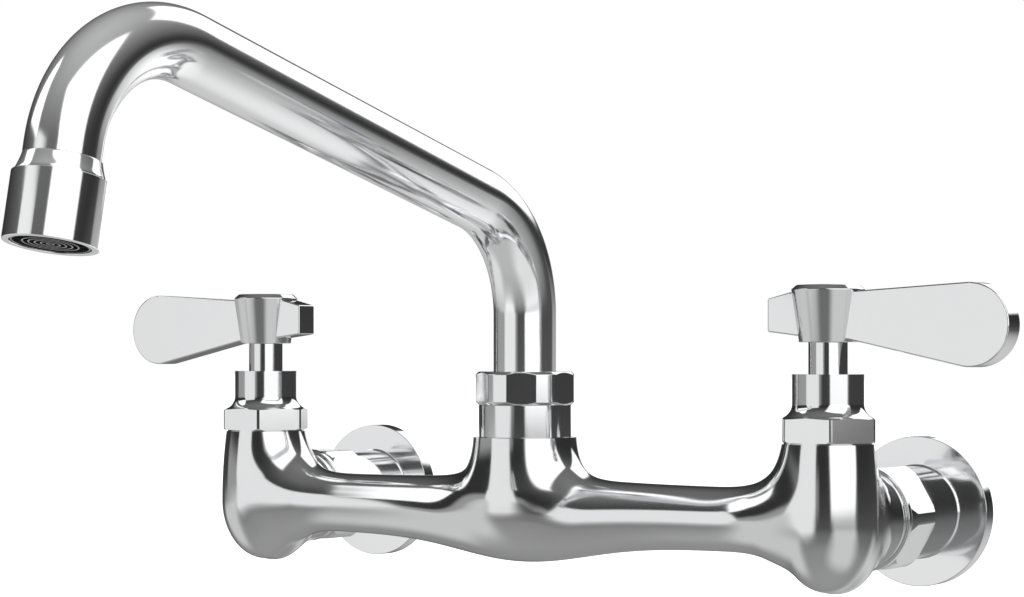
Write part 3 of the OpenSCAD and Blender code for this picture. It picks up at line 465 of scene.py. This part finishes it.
def skin_field(p):
    """Distance to the skin, nearly, and below zero inside. Points are measured from the spout's
    axis, and the two sides are alike."""
    x, y, z = np.abs(p[:, 0]), p[:, 1], p[:, 2]
    growth = np.exp(-((x / BELLY_LEN) ** 2))
    w, h = ARM_W + BELLY_W * growth, ARM_H + BELLY_H * growth
    middle = -ARM_DROP - BELLY_DROP * growth
    arm = (long(np.maximum(x - HALF, 0) / w, y / w, (z - middle) / h) - 1) * np.minimum(w, h)
    post = long(x, y, np.minimum(z, 0) * POST_R / POST_FOOT) - POST_R
    xc = x - HALF
    rise = z + CHAMBER_DROP
    reach = np.where(rise > 0, CHAMBER_RISE, CHAMBER_FOOT)
    chamber = (long(long(xc, y) / CHAMBER_R, rise / reach) - 1) * CHAMBER_R
    cove = np.clip(y - COVE_START, 0, BEAD_START - COVE_START)
    boss_r = BOSS_R + (COVE_END_R - BOSS_R) * (cove / (BEAD_START - COVE_START)) ** 2
    boss = long(xc, np.minimum(y - BOSS_START, 0) * BOSS_FRONT, z) - boss_r
    boss_blend = (
        BLEND_BOSS
        * ease((y / BOSS_R + BLEND_BOSS_FROM) / BLEND_BOSS_OVER)
        * (1 - np.minimum((xc / CHAMBER_R) ** 4, 1))
        * ease((BEAD_START - y) / (BEAD_START - BOSS_R))
    )
    above = (
        (1 - BLEND_TURN_SHARE) * ease((z + ARM_H / 4) / ARM_H)
        + BLEND_TURN_SHARE * ease(z / BLEND_TURN + 1)
    )
    core = soft_min(arm, post, BLEND_LOW + (BLEND_TOP - BLEND_LOW) * above)
    end = soft_min(chamber, boss, np.maximum(boss_blend, NO_BLEND))
    fade = 1 - ease((xc + BLEND_FADE + FADE_SHIFT * above) / (BLEND_FADE + FADE_STRETCH * above))
    width = (BLEND_END_LOW + (BLEND_END_TOP - BLEND_END_LOW) * above) * fade
    return soft_min(core, end, np.maximum(width, NO_BLEND))


def skin_slope(p):
    parts = []
    for axis in range(3):
        nudge = np.zeros(3)
        nudge[axis] = SLOPE_STEP
        parts.append((skin_field(p + nudge) - skin_field(p - nudge)) / (2 * SLOPE_STEP))
    return np.stack(parts, axis=1)


def settle(bm, rounds):
    """Lays every point on the skin."""
    p = np.array([v.co for v in bm.verts])
    for _ in range(rounds):
        slope = skin_slope(p)
        size = np.maximum((slope * slope).sum(1), LEAST_SLOPE)
        move = -(skin_field(p) / size)[:, None] * slope
        far = np.maximum(long(move[:, 0], move[:, 1], move[:, 2]) / LONGEST_MOVE, 1)
        p = p + move / far[:, None]
    for v, co in zip(bm.verts, p):
        v.co = co


def skin_blank():
    """Rough rods and balls where the arms, the post, the chambers and the bosses go."""
    bm = bmesh.new()

    def rod(radius, length, place):
        bmesh.ops.create_cone(
            bm, cap_ends=True, segments=BLANK_PARTS, radius1=radius, radius2=radius, depth=length,
            matrix=place,
        )

    def ball(radius, x, squash):
        place = slide(x, 0, -BLANK_BALL_DROP) @ Matrix.Diagonal((1, 1, squash, 1))
        bmesh.ops.create_uvsphere(
            bm, u_segments=BLANK_PARTS, v_segments=BLANK_PARTS // 2, radius=radius, matrix=place
        )

    rod(ARM_H + BLANK_EXTRA, 2 * HALF, turn(90, "Y"))
    rod(POST_R, BLANK_NECK, slide(z=BLANK_NECK_MIDDLE))
    ball(POST_R, 0, BLANK_POST_FOOT)
    for side in (LEFT, RIGHT):
        x = side * HALF
        rod(CHAMBER_R - BLANK_CHAMBER_LESS, BLANK_NECK, slide(x, 0, BLANK_NECK_MIDDLE))
        ball(CHAMBER_R, x, BLANK_CHAMBER_FOOT)
        rod(BOSS_R + BLANK_EXTRA, BLANK_BOSS, slide(x, BLANK_BOSS / 2) @ turn(90, "X"))
    return bm


def cast_body():
    blank = as_object(skin_blank(), "skin_blank")
    remesh = blank.modifiers.new("cells", "REMESH")
    remesh.mode = "VOXEL"
    remesh.voxel_size = SKIN_CELL
    bm = applied(blank)
    cut_open(bm, (0, 0, BLANK_TOP), (0, 0, 1))
    cut_open(bm, (0, BLANK_BACK, 0), (0, 1, 0))
    settle(bm, FIRST_ROUNDS)
    for _ in range(SMOOTHINGS):
        for _ in range(STROKES):
            bmesh.ops.smooth_vert(
                bm, verts=bm.verts, factor=0.5, use_axis_x=True, use_axis_y=True, use_axis_z=True
            )
        settle(bm, NEXT_ROUNDS)
    settle(bm, NEXT_ROUNDS)
    cut_open(bm, (0, 0, NECK_TOP), (0, 0, 1))
    cut_open(bm, (0, BEAD_START, 0), (0, 1, 0))
    bmesh.ops.edgeloop_fill(bm, edges=[e for e in bm.edges if e.is_boundary])
    bmesh.ops.recalc_face_normals(bm, faces=bm.faces)
    return bm


def boss_end():
    rings = turned([
        (0, BEAD_START), (BEAD_R, BEAD_START), (BEAD_R, BEAD_END), (GROOVE_R, BEAD_END),
        (GROOVE_R, RING_START), (RING_R, RING_START), (RING_R, BOSS_REACH), (0, BOSS_REACH),
    ])
    return soften(rings, RING_EDGE, segments=3)


def shade_by_slope(mesh):
    """Gives the skin the normals of the field itself, and the flat cuts their own."""
    p = np.array([v.co for v in mesh.vertices]) / MM + np.array((0, WALL, 0))
    slope = skin_slope(p)
    slope /= long(slope[:, 0], slope[:, 1], slope[:, 2])[:, None]
    corners = []
    for face in mesh.polygons:
        flat = face.normal
        for i in face.vertices:
            corners.append(slope[i] if flat.dot(Vector(slope[i])) > ON_SKIN else flat)
    mesh.normals_split_custom_set(corners)


skin = piece(
    cast_body(), "cast_body", AT_SPOUT, body_chrome, "root", "faucet_body",
    weighted=False,
)
shade_by_slope(skin.data)
for name, side in SIDES:
    piece(boss_end(), name + "_boss_ring", at_inlet(side), turned_chrome, "root",
          "faucet_body")


# Couplings and wall flanges

def coupling_nut():
    nut = turned([
        (TAIL_HOLE, NUT_START), (NUT_FRONT_R, NUT_START), (NUT_R, NUT_START + NUT_FRONT_LEN),
        (NUT_R, NUT_END - NUT_BACK_LEN), (NUT_BACK_R, NUT_END), (NUT_BORE, NUT_END),
        (NUT_BORE, NUT_START + NUT_LIP), (TAIL_HOLE, NUT_START + NUT_LIP),
    ])
    cut_flats(nut, NUT_FLAT, 30)
    return soften(nut, NUT_EDGE)


def wall_plate():
    profile = [
        (WATER_R, BARREL_START), (NUT_BORE - PLAY, BARREL_START),
        (NUT_BORE - PLAY, NUT_END + PLAY), (BARREL_R, NUT_END + PLAY),
        (BARREL_R, FLANGE_FACE - BARREL_STEP), (BARREL_R + BARREL_STEP, FLANGE_FACE),
        (FLANGE_R, FLANGE_FACE), (FLANGE_R, WALL), (INLET_R + INLET_MOUTH, WALL),
    ]
    level = WALL - INLET_MOUTH
    while level - THREAD_PITCH > WALL - INLET_DEPTH + INLET_MOUTH:
        profile += [(INLET_R, level), (THREAD_R, level - THREAD_PITCH / 2)]
        level -= THREAD_PITCH
    profile += [(INLET_R, level), (INLET_R, WALL - INLET_DEPTH), (WATER_R, WALL - INLET_DEPTH)]
    return soften(turned(profile), RING_EDGE, segments=3)


for name, side in SIDES:
    piece(coupling_nut(), name + "_coupling_hex", at_inlet(side), turned_chrome, "root",
          name + "_coupling_nut")
    piece(wall_plate(), name + "_wall_plate", at_inlet(side), turned_chrome, "root",
          name + "_wall_flange")


# Bonnets and stems

def bonnet():
    hollow = [
        (COLLAR_R + COVE_R - COVE_R * math.cos(a), HEX_TOP + COVE_R - COVE_R * math.sin(a))
        for a in (math.radians(90 - 90 * i / COVE_PARTS) for i in range(COVE_PARTS + 1))
    ]
    hexagon = turned([
        (STEM_R + PLAY, NECK_TOP - WASHER_SINK), (WASHER_R, NECK_TOP - WASHER_SINK),
        (WASHER_R, HEX_LEVEL), (HEX_CORNER - HEX_BREAK, HEX_LEVEL),
        (HEX_CORNER, HEX_LEVEL + HEX_BREAK), (HEX_CORNER, HEX_TOP), *hollow,
        (COLLAR_R, BONNET_TOP), (STEM_R + PLAY, BONNET_TOP),
    ])
    cut_flats(hexagon, HEX_FLAT, 30)
    return soften(hexagon, BONNET_EDGE)


def stem():
    return soften(turned([
        (0, FOOT_TIP), (FOOT_R, FOOT_LEVEL), (FOOT_R, FOOT_TOP), (SPINDLE_R, FOOT_TOP),
        (SPINDLE_R, SPINDLE_TOP), (STEM_R, SPINDLE_TOP), (STEM_R, HUB_LEVEL), (SPLINE_R, HUB_LEVEL),
        (SPLINE_R, SPLINE_TOP), (0, SPLINE_TOP),
    ]), STEM_EDGE)


# Handles

def plate(outline):
    """A plate of the lever's thickness from an outline in X and Z, with rounded edges."""
    bm = bmesh.new()
    face = bm.faces.new([bm.verts.new((x, -LEVER_T / 2, z)) for x, z in outline])
    side = bmesh.ops.extrude_face_region(bm, geom=[face])
    bmesh.ops.translate(bm, verts=points_of(side["geom"]), vec=(0, LEVER_T, 0))
    bmesh.ops.recalc_face_normals(bm, faces=bm.faces)
    return soften(bm, LEVER_EDGE, segments=3)


def touch(root, way):
    """Where a line from a root point touches the round end, as an angle round the end's middle."""
    gap = Vector((LEVER_TIP - LEVER_END_R - root[0], LEVER_END_LEVEL - root[1]))
    return math.atan2(gap.y, gap.x) + way * (math.asin(LEVER_END_R / gap.length) + math.pi / 2)


def lever_outline():
    low, high = touch(LEVER_LOW, -1), touch(LEVER_HIGH, 1)
    angles = (low + (high - low) * i / LEVER_END_PARTS for i in range(LEVER_END_PARTS + 1))
    arc = [
        (
            LEVER_TIP - LEVER_END_R + LEVER_END_R * math.cos(a),
            LEVER_END_LEVEL + LEVER_END_R * math.sin(a),
        )
        for a in angles
    ]
    return [
        (-LEVER_ROOT, LEVER_LOW[1]), LEVER_LOW, *arc, LEVER_HIGH, (-LEVER_ROOT, LEVER_HIGH[1]),
    ]


def tail_outline():
    return [
        (LEVER_ROOT, TAIL_ROOT[0]), (LEVER_ROOT, TAIL_ROOT[1]), (-HUB_RIM_R, TAIL_ROOT[1]),
        (-TAIL_REACH, TAIL_END[1]), (-TAIL_REACH, TAIL_END[0]), (-HUB_LOW_R, TAIL_ROOT[0]),
    ]


def handle():
    hub = soften(turned([
        (0, HUB_LEVEL), (HUB_LOW_R, HUB_LEVEL), (HUB_RIM_R, HUB_RIM), (HUB_TOP_R, HUB_TOP),
        (0, HUB_TOP),
    ], FINE_ROUND), HUB_EDGE, segments=3)
    seat_r = BUTTON_R + PLAY
    seat = turned([
        (0, BUTTON_LOW), (seat_r, BUTTON_LOW), (seat_r, SEAT_TOP), (0, SEAT_TOP),
    ], FINE_ROUND)
    shape = joined(hub, [plate(lever_outline()), plate(tail_outline())])
    return joined(shape, [seat], "DIFFERENCE")


def button():
    shank, dish = BUTTON_LOW - BUTTON_SHANK, BUTTON_CROWN - DISH_DEPTH
    return soften(turned([
        (0, shank), (BUTTON_SHANK_R, shank), (BUTTON_SHANK_R, BUTTON_LOW), (BUTTON_R, BUTTON_LOW),
        (BUTTON_R, BUTTON_TOP), (BUTTON_R - BUTTON_ROUND, BUTTON_CROWN),
        (BUTTON_R - DISH_EDGE, BUTTON_CROWN), (BUTTON_R - DISH_FOOT, dish), (0, dish),
    ]), BUTTON_EDGE)


for name, side in SIDES:
    lever = name + "_lever"
    piece(bonnet(), name + "_bonnet_hex", at_valve(side), turned_chrome, "root",
          name + "_bonnet")
    piece(stem(), name + "_valve_stem", at_valve(side), turned_chrome, lever,
          name + "_spindle")
    way = Matrix.Diagonal((side, 1, 1, 1))
    piece(handle(), name + "_lever_handle", at_valve(side) @ way, lever_chrome, lever,
          name + "_handle", crease=LEVER_CREASE)
    enamel, slot = (hot_enamel, "hot_index") if side == LEFT else (cold_enamel, "cold_index")
    piece(button(), name + "_button_cap", at_valve(side), enamel, lever,
          name + "_index_button")


# Spout: collar, nut, pipe, flare and aerator

def spout_collar():
    foot = NECK_TOP - SOCKET_SINK
    return soften(turned([
        (SOCKET_BORE, foot), (SPIGOT_R, foot), (SPIGOT_R, NECK_TOP), (SOCKET_R, NECK_TOP),
        (SOCKET_R, SOCKET_TOP), (SPIGOT_R, SOCKET_TOP), (SPIGOT_R, SPIGOT_TOP),
        (SOCKET_BORE, SPIGOT_TOP),
    ]), COLLAR_EDGE)


def spout_nut():
    inner, roof = SPOUT_NUT_R - SPOUT_NUT_BEVEL, SPOUT_NUT_TOP - SPOUT_NUT_ROOF
    nut = turned([
        (SPIGOT_R + PLAY, SOCKET_TOP), (inner, SOCKET_TOP),
        (SPOUT_NUT_R, SOCKET_TOP + SPOUT_NUT_BEVEL), (SPOUT_NUT_R, SPOUT_NUT_TOP - SPOUT_NUT_BEVEL),
        (inner, SPOUT_NUT_TOP), (PIPE_R + PIPE_PLAY, SPOUT_NUT_TOP), (PIPE_R + PIPE_PLAY, roof),
        (SPIGOT_R + PLAY, roof),
    ])
    cut_flats(nut, SPOUT_NUT_FLAT, 0)
    return soften(nut, NUT_EDGE)


def pipe():
    """The pipe's outer skin along its route, and the place at which the outlet leg starts."""
    first_cut = BEND_R * math.tan(math.radians(FIRST_TURN / 2))
    last_cut = BEND_R * math.tan(math.radians(LAST_TURN / 2))
    run = OUTLET_CORNER / math.cos(math.radians(RISE)) - first_cut - last_cut
    bm = bmesh.new()
    start = slide(z=SLEEVE_FOOT)
    bmesh.ops.create_circle(bm, cap_ends=False, segments=ROUND, radius=PIPE_R, matrix=start)
    state = {"rim": bm.edges[:], "place": start}

    def straight(length, stops):
        done = 0.0
        for stop in stops + [length]:
            made = bmesh.ops.extrude_edge_only(bm, edges=state["rim"])["geom"]
            along = state["place"].to_3x3() @ Vector((0, 0, stop - done))
            bmesh.ops.translate(bm, verts=points_of(made), vec=along)
            state["rim"] = edges_of(made)
            done = stop
        state["place"] = state["place"] @ slide(z=length)

    def bent(angle):
        here = state["place"]
        points = list(dict.fromkeys(v for e in state["rim"] for v in e.verts))
        made = bmesh.ops.spin(
            bm, geom=state["rim"] + points,
            cent=here @ Vector((0, -BEND_R, 0)), axis=here.to_3x3() @ Vector((1, 0, 0)),
            angle=math.radians(angle), steps=round(angle / BEND_STEP),
        )["geom_last"]
        state["rim"] = edges_of(made)
        state["place"] = here @ slide(0, -BEND_R, 0) @ turn(angle, "X") @ slide(0, BEND_R, 0)

    upright = CORNER_LEVEL - first_cut - SLEEVE_FOOT
    straight(upright, [NEAR_STOP, FAR_STOP, upright - FAR_STOP, upright - NEAR_STOP])
    bent(FIRST_TURN)
    thirds = [run / 3, 2 * run / 3]
    straight(run, [NEAR_STOP, FAR_STOP, *thirds, run - FAR_STOP, run - NEAR_STOP])
    bent(LAST_TURN)
    outlet = state["place"]
    straight(OUTLET_LEG - FLARE_LEN, OUTLET_STOPS)
    return bm, outlet


def outlet_flare():
    inner = PIPE_R - PIPE_WALL
    return soften(turned([
        (inner - FLARE_BORE, FLARE_START), (inner, FLARE_START), (inner, FLARE_RIM),
        (PIPE_R, FLARE_RIM), *FLARE_CURVE, (FLARE_THREAD_R, OUTLET_LEG),
        (FLARE_THREAD_R, FLARE_END), (inner - FLARE_BORE, FLARE_END),
    ]), FLARE_EDGE, sharp_turn=FLARE_SHARP_TURN)


def aerator_shell():
    end = OUTLET_LEG + SHELL_LEN
    return soften(turned([
        (SHELL_THREAD_R, OUTLET_LEG), (SHELL_R, OUTLET_LEG), (SHELL_R, end), (MOUTH_R, end),
        (MOUTH_R, end - MOUTH_LIP), (SHELL_THREAD_R, end - MOUTH_LIP),
    ]), RING_EDGE, segments=3)


def add_shape(bm, other):
    """Adds a copy of another shape."""
    spare = bpy.data.meshes.new("spare")
    other.to_mesh(spare)
    other.free()
    bm.from_mesh(spare)
    bpy.data.meshes.remove(spare)


def aerator_core():
    mouth = OUTLET_LEG + SHELL_LEN
    end, lip = mouth - CORE_RECESS, mouth - MOUTH_LIP
    foot, flange_r = end - CORE_HEIGHT, SHELL_THREAD_R - CORE_PLAY
    bm = turned([
        (CORE_RIM_R, end - CORE_DEPTH), (flange_r, end - CORE_DEPTH), (flange_r, lip - CORE_PLAY),
        (CORE_EDGE_R, lip), (CORE_EDGE_R, end), (CORE_RIM_R, end),
    ])
    for i in range(CORE_RINGS):
        r = CORE_FIRST_R + i * CORE_PITCH
        inside, outside = r - CORE_WALL / 2, r + CORE_WALL / 2
        add_shape(bm, turned([
            (inside, foot), (outside, foot), (outside, end), (inside, end),
        ], RING_ROUND))
    span, rib_height = CORE_RIM_R - CORE_FIRST_R + CORE_WALL, CORE_HEIGHT / 2
    rib = (
        slide(CORE_FIRST_R + span / 2, 0, foot + rib_height / 2)
        @ Matrix.Diagonal((span, CORE_WALL, rib_height, 1))
    )
    for i in range(CORE_RIBS):
        bmesh.ops.create_cube(bm, size=1, matrix=turn(360 * i / CORE_RIBS, "Z") @ rib)
    return bm


def sharp_rims(mesh):
    """Keeps the wall of an open skin square at its rims."""
    faces_at = Counter(key for face in mesh.polygons for key in face.edge_keys)
    for edge in mesh.edges:
        edge.use_edge_sharp = edge.use_edge_sharp or faces_at[edge.key] == 1


pipe_skin, outlet = pipe()
at_outlet = AT_SPOUT @ outlet
spout_pipe = piece(
    pipe_skin, "spout_pipe", AT_SPOUT, pipe_chrome, "spout", "spout_tube",
    weighted=False,
)
sharp_rims(spout_pipe.data)
wall = spout_pipe.modifiers.new("wall", "SOLIDIFY")
wall.thickness = PIPE_WALL * MM
wall.offset = -1
piece(spout_collar(), "spout_collar", AT_SPOUT, turned_chrome, "root",
      "spout_socket")
piece(spout_nut(), "spout_hex", AT_SPOUT, turned_chrome, "root", "spout_nut")
flare = piece(outlet_flare(), "outlet_flare", at_outlet, pipe_chrome, "spout",
              "outlet_ferrule")
shell = piece(aerator_shell(), "aerator_shell", at_outlet, turned_chrome, "spout",
              "aerator_housing")
core = piece(aerator_core(), "aerator_core", at_outlet, core_plastic, "spout",
             "aerator_insert", weighted=False)


# Inner parts stay as they are, each with its own finish
INNER = (
    (turned_brass, "inlet_tail", "cartridge_body", "swivel_sleeve"),
    (seal_rubber, "inlet_washer", "cartridge_ring", "seat_seal", "spindle_rings", "spout_rings",
     "aerator_gasket"),
    (disc_ceramic, "fixed_disc", "turning_disc"),
    (clip_steel, "spindle_clip", "handle_screw", "aerator_screen"),
    (glide_nylon, "glide_ring"),
)
for finish, *kinds in INNER:
    for node_name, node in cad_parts.items():
        if any(node_name.endswith(kind) for kind in kinds):
            if not node.material_slots:
                node.data.materials.append(finish)
            for slot in node.material_slots:
                slot.material = finish


# Camera, where the photograph was taken from
CAMERA_PLACE = (0.41242, -0.6718, 0.04758)
CAMERA_TURN = 34.40
camera_data = bpy.data.cameras.new("camera")
camera_data.sensor_width = 36
camera_data.lens = 85.85
camera_data.shift_y = 0.0515
camera_data.clip_start = 0.01
camera = bpy.data.objects.new("camera", camera_data)
camera.location = CAMERA_PLACE
camera.rotation_euler = (math.radians(90), 0, math.radians(CAMERA_TURN))
bpy.context.scene.collection.objects.link(camera)
bpy.context.scene.camera = camera


# Studio: soft light cards over a dim room and a pale ground. A place in it is a bearing, in
# degrees to the right of the camera as the faucet sees it, and a height above the horizon.
# ROOM and GROUND give the light by height and by depth, CARDS level, softness and corners, and
# GLOWS, which lie below the horizon and have one softness, level and corners.
ROOM = (
    (0, 0.045), (4, 0.03), (8, 0.026), (12, 0.026), (19, 0.034), (26, 0.044), (35, 0.068),
    (45, 0.1), (55, 0.133), (67, 0.148), (80, 0.17), (90, 0.185),
)
GROUND = (
    (0, 0.05), (5, 0.08), (11, 0.133), (20, 0.17), (32, 0.25), (50, 0.275), (75, 0.3), (90, 0.3),
)
CARDS = (
    (0.15, 0.02, ((52, -8), (62, -8), (63, 1), (52, 1))),
    (1.15, 0.035, ((0.5, -6), (53, -6), (65, 8), (87, 52), (-19, 52))),
    (1.15, 0.025, ((119, 11), (169, 11), (172, 52), (112, 53))),
    (1.15, 0.015, ((-120, 18), (-77, 20), (-84, 35), (-104, 49), (-120, 47))),
    (0.3, 0.05, ((-118, -8), (-76, -8), (-76, 4), (-118, 4))),
    (0.24, 0.05, ((-42, -8), (-27, -8), (-29, 6), (-42, 6))),
    (0.79, 0.02, ((-81.5, -8), (-35, -8), (-38, 22), (-76, 24))),
    (0.9, 0.06, ((158, -12), (190, -12), (190, 5), (158, 5))),
)
GLOWS = (
    (0.58, ((5, -3), (58, -3), (78, -52), (-10, -52))),
    (0.57, ((-134, -5), (-78, 2), (-78, -40), (-95, -56), (-130, -53))),
    (0.79, ((-81, 4), (-36, 4), (-40, -13), (-76, -15))),
    (0.6, ((116, -11), (172, -11), (170, -36), (116, -36))),
)

# A second light adds to it on the spout alone, and is given in the same way
HIGH_ROOM = (
    (0, 0.035), (5, 0), (12, 0.03), (19, 0.077), (26, 0.114), (35, 0.15), (45, 0.185),
    (55, 0.215), (67, 0.27), (80, 0.29), (90, 0.3),
)
HIGH_GROUND = (
    (0, 0.035), (5, 0.11), (11, 0.15), (20, 0.17), (32, 0.17), (50, 0.2), (75, 0.19), (90, 0.18),
)
HIGH_CARDS = ((0.42, 0.08, ((118, -4), (186, -4), (186, 2), (118, 2))),)
HIGH_GLOWS = (
    (0.36, ((0, 2), (60, 2), (60, -13), (0, -13))),
    (0.0, ((-125, 2), (-80, 2), (-80, -13), (-125, -13))),
    (0.4, ((-74, -12), (-40, -12), (-42, -28), (-74, -26))),
    (0.6, ((108, 0), (178, 0), (178, -62), (108, -62))),
    (0.36, ((-179, -2), (-135, -2), (-135, -60), (-179, -60))),
)

# Glows have softer edges the deeper they lie, and the room turns into the ground at the horizon
GLOW_SOFT, GLOW_SOFTER, GLOW_DEPTH = 0.1, 0.16, 30
HORIZON_TOP, HORIZON_LOW = 0.5, 3.5
DOME_R = 20


def aim(bearing, height):
    a, b, c = (math.radians(angle) for angle in (CAMERA_TURN, bearing, height))
    return Vector((
        math.cos(c) * (math.cos(b) * math.sin(a) + math.sin(b) * math.cos(a)),
        math.cos(c) * (math.sin(b) * math.sin(a) - math.cos(b) * math.cos(a)),
        math.sin(c),
    ))


def card(finish, ray, corners, softness):
    """1 on a card and 0 beside it, with soft edges."""
    middle = sum((aim(*corner) for corner in corners), Vector())
    mask = 1.0
    for first, second in zip(corners, corners[1:] + corners[:1]):
        edge = aim(*first).cross(aim(*second)).normalized()
        if edge.dot(middle) < 0:
            edge = -edge
        mask = finish.steps(finish.dot(ray, edge), softness * -1, softness) * mask
    return mask


def all_round(finish, ray, rooms, grounds, cards, glows):
    """The light that comes from the direction of a ray."""
    height = finish.dot(ray, (0, 0, 1)).math("ARCSINE") * (180 / math.pi)
    depth = height * -1
    room, ground = (finish.node("ShaderNodeValToRGB", {
        "ramp": "LINEAR", "stops": [(h / 90, grey(level)) for h, level in levels],
    }, {"Fac": way / 90}) for levels, way in ((rooms, height), (grounds, depth)))
    for level, softness, corners in cards:
        room = finish.mix(card(finish, ray, corners, softness), room, grey(level))
    spread = finish.steps(depth, 0, GLOW_DEPTH) * GLOW_SOFTER + GLOW_SOFT
    for level, corners in glows:
        ground = finish.mix(card(finish, ray, corners, spread), ground, grey(level))
    return finish.mix(finish.steps(depth, HORIZON_TOP, HORIZON_LOW), room, ground)


def studio():
    """Lights the faucet all round, behind a plain white background."""
    world = bpy.data.worlds.new("studio")
    bpy.context.scene.world = world
    finish = Finish(world)
    light = all_round(finish, finish.node("ShaderNodeTexCoord"), ROOM, GROUND, CARDS, GLOWS)
    seen = finish.node("ShaderNodeLightPath")
    back = finish.node("ShaderNodeBackground", None, {"Color": finish.mix(seen, light, grey(1.0))})
    finish.node("ShaderNodeOutputWorld", None, {"Surface": back})


def high_light(*lit):
    """A wide dome that shines on some pieces alone, and shows in nothing else."""
    bm = bmesh.new()
    bmesh.ops.create_icosphere(bm, subdivisions=4, radius=DOME_R)
    dome = as_object(bm, "high_light")
    material = bpy.data.materials.new("high_light")
    finish = Finish(material)
    ray = finish.node("ShaderNodeVectorMath", {"operation": "NORMALIZE"}, {0: finish.place()})
    light = all_round(finish, ray, HIGH_ROOM, HIGH_GROUND, HIGH_CARDS, HIGH_GLOWS)
    clear = finish.node("ShaderNodeBsdfTransparent")
    shine = finish.node("ShaderNodeEmission", None, {"Color": light})
    both = finish.node("ShaderNodeAddShader", None, {0: clear, 1: shine})
    finish.node("ShaderNodeOutputMaterial", None, {"Surface": both})
    dome.data.materials.append(material)
    material.cycles.emission_sampling = "NONE"
    for ray_kind in ("camera", "diffuse", "shadow", "transmission", "volume_scatter"):
        setattr(dome, "visible_" + ray_kind, False)
    group = bpy.data.collections.new("lit_from_high")
    for made in lit:
        group.objects.link(made)
    dome.light_linking.receiver_collection = group


studio()
high_light(spout_pipe, flare, shell, core)


# Floor: plain and pale, well below the faucet, as the wall carries it
FLOOR_LEVEL, FLOOR_REACH, FLOOR_GRAIN, FLOOR_DARK, FLOOR_LIGHT = -0.35, 30, 3.0, 0.94, 0.97


def floor():
    bm = bmesh.new()
    bmesh.ops.create_grid(
        bm, x_segments=8, y_segments=8, size=FLOOR_REACH, matrix=slide(z=FLOOR_LEVEL)
    )
    made = as_object(bm, "pale_floor")
    finish = Finish(bpy.data.materials.new("pale_floor"))
    grain = finish.noise(finish.place(), FLOOR_GRAIN, 2.0)
    colour = finish.mix(grain, grey(FLOOR_DARK), grey(FLOOR_LIGHT))
    made.data.materials.append(finish.surface({
        "Base Color": colour, "Roughness": 0.9, "Emission Color": colour, "Emission Strength": 1.0,
    }))
    made.visible_glossy = False


floor()

bpy.context.scene.view_settings.view_transform = "Standard"
bpy.context.scene.view_settings.look = "None"
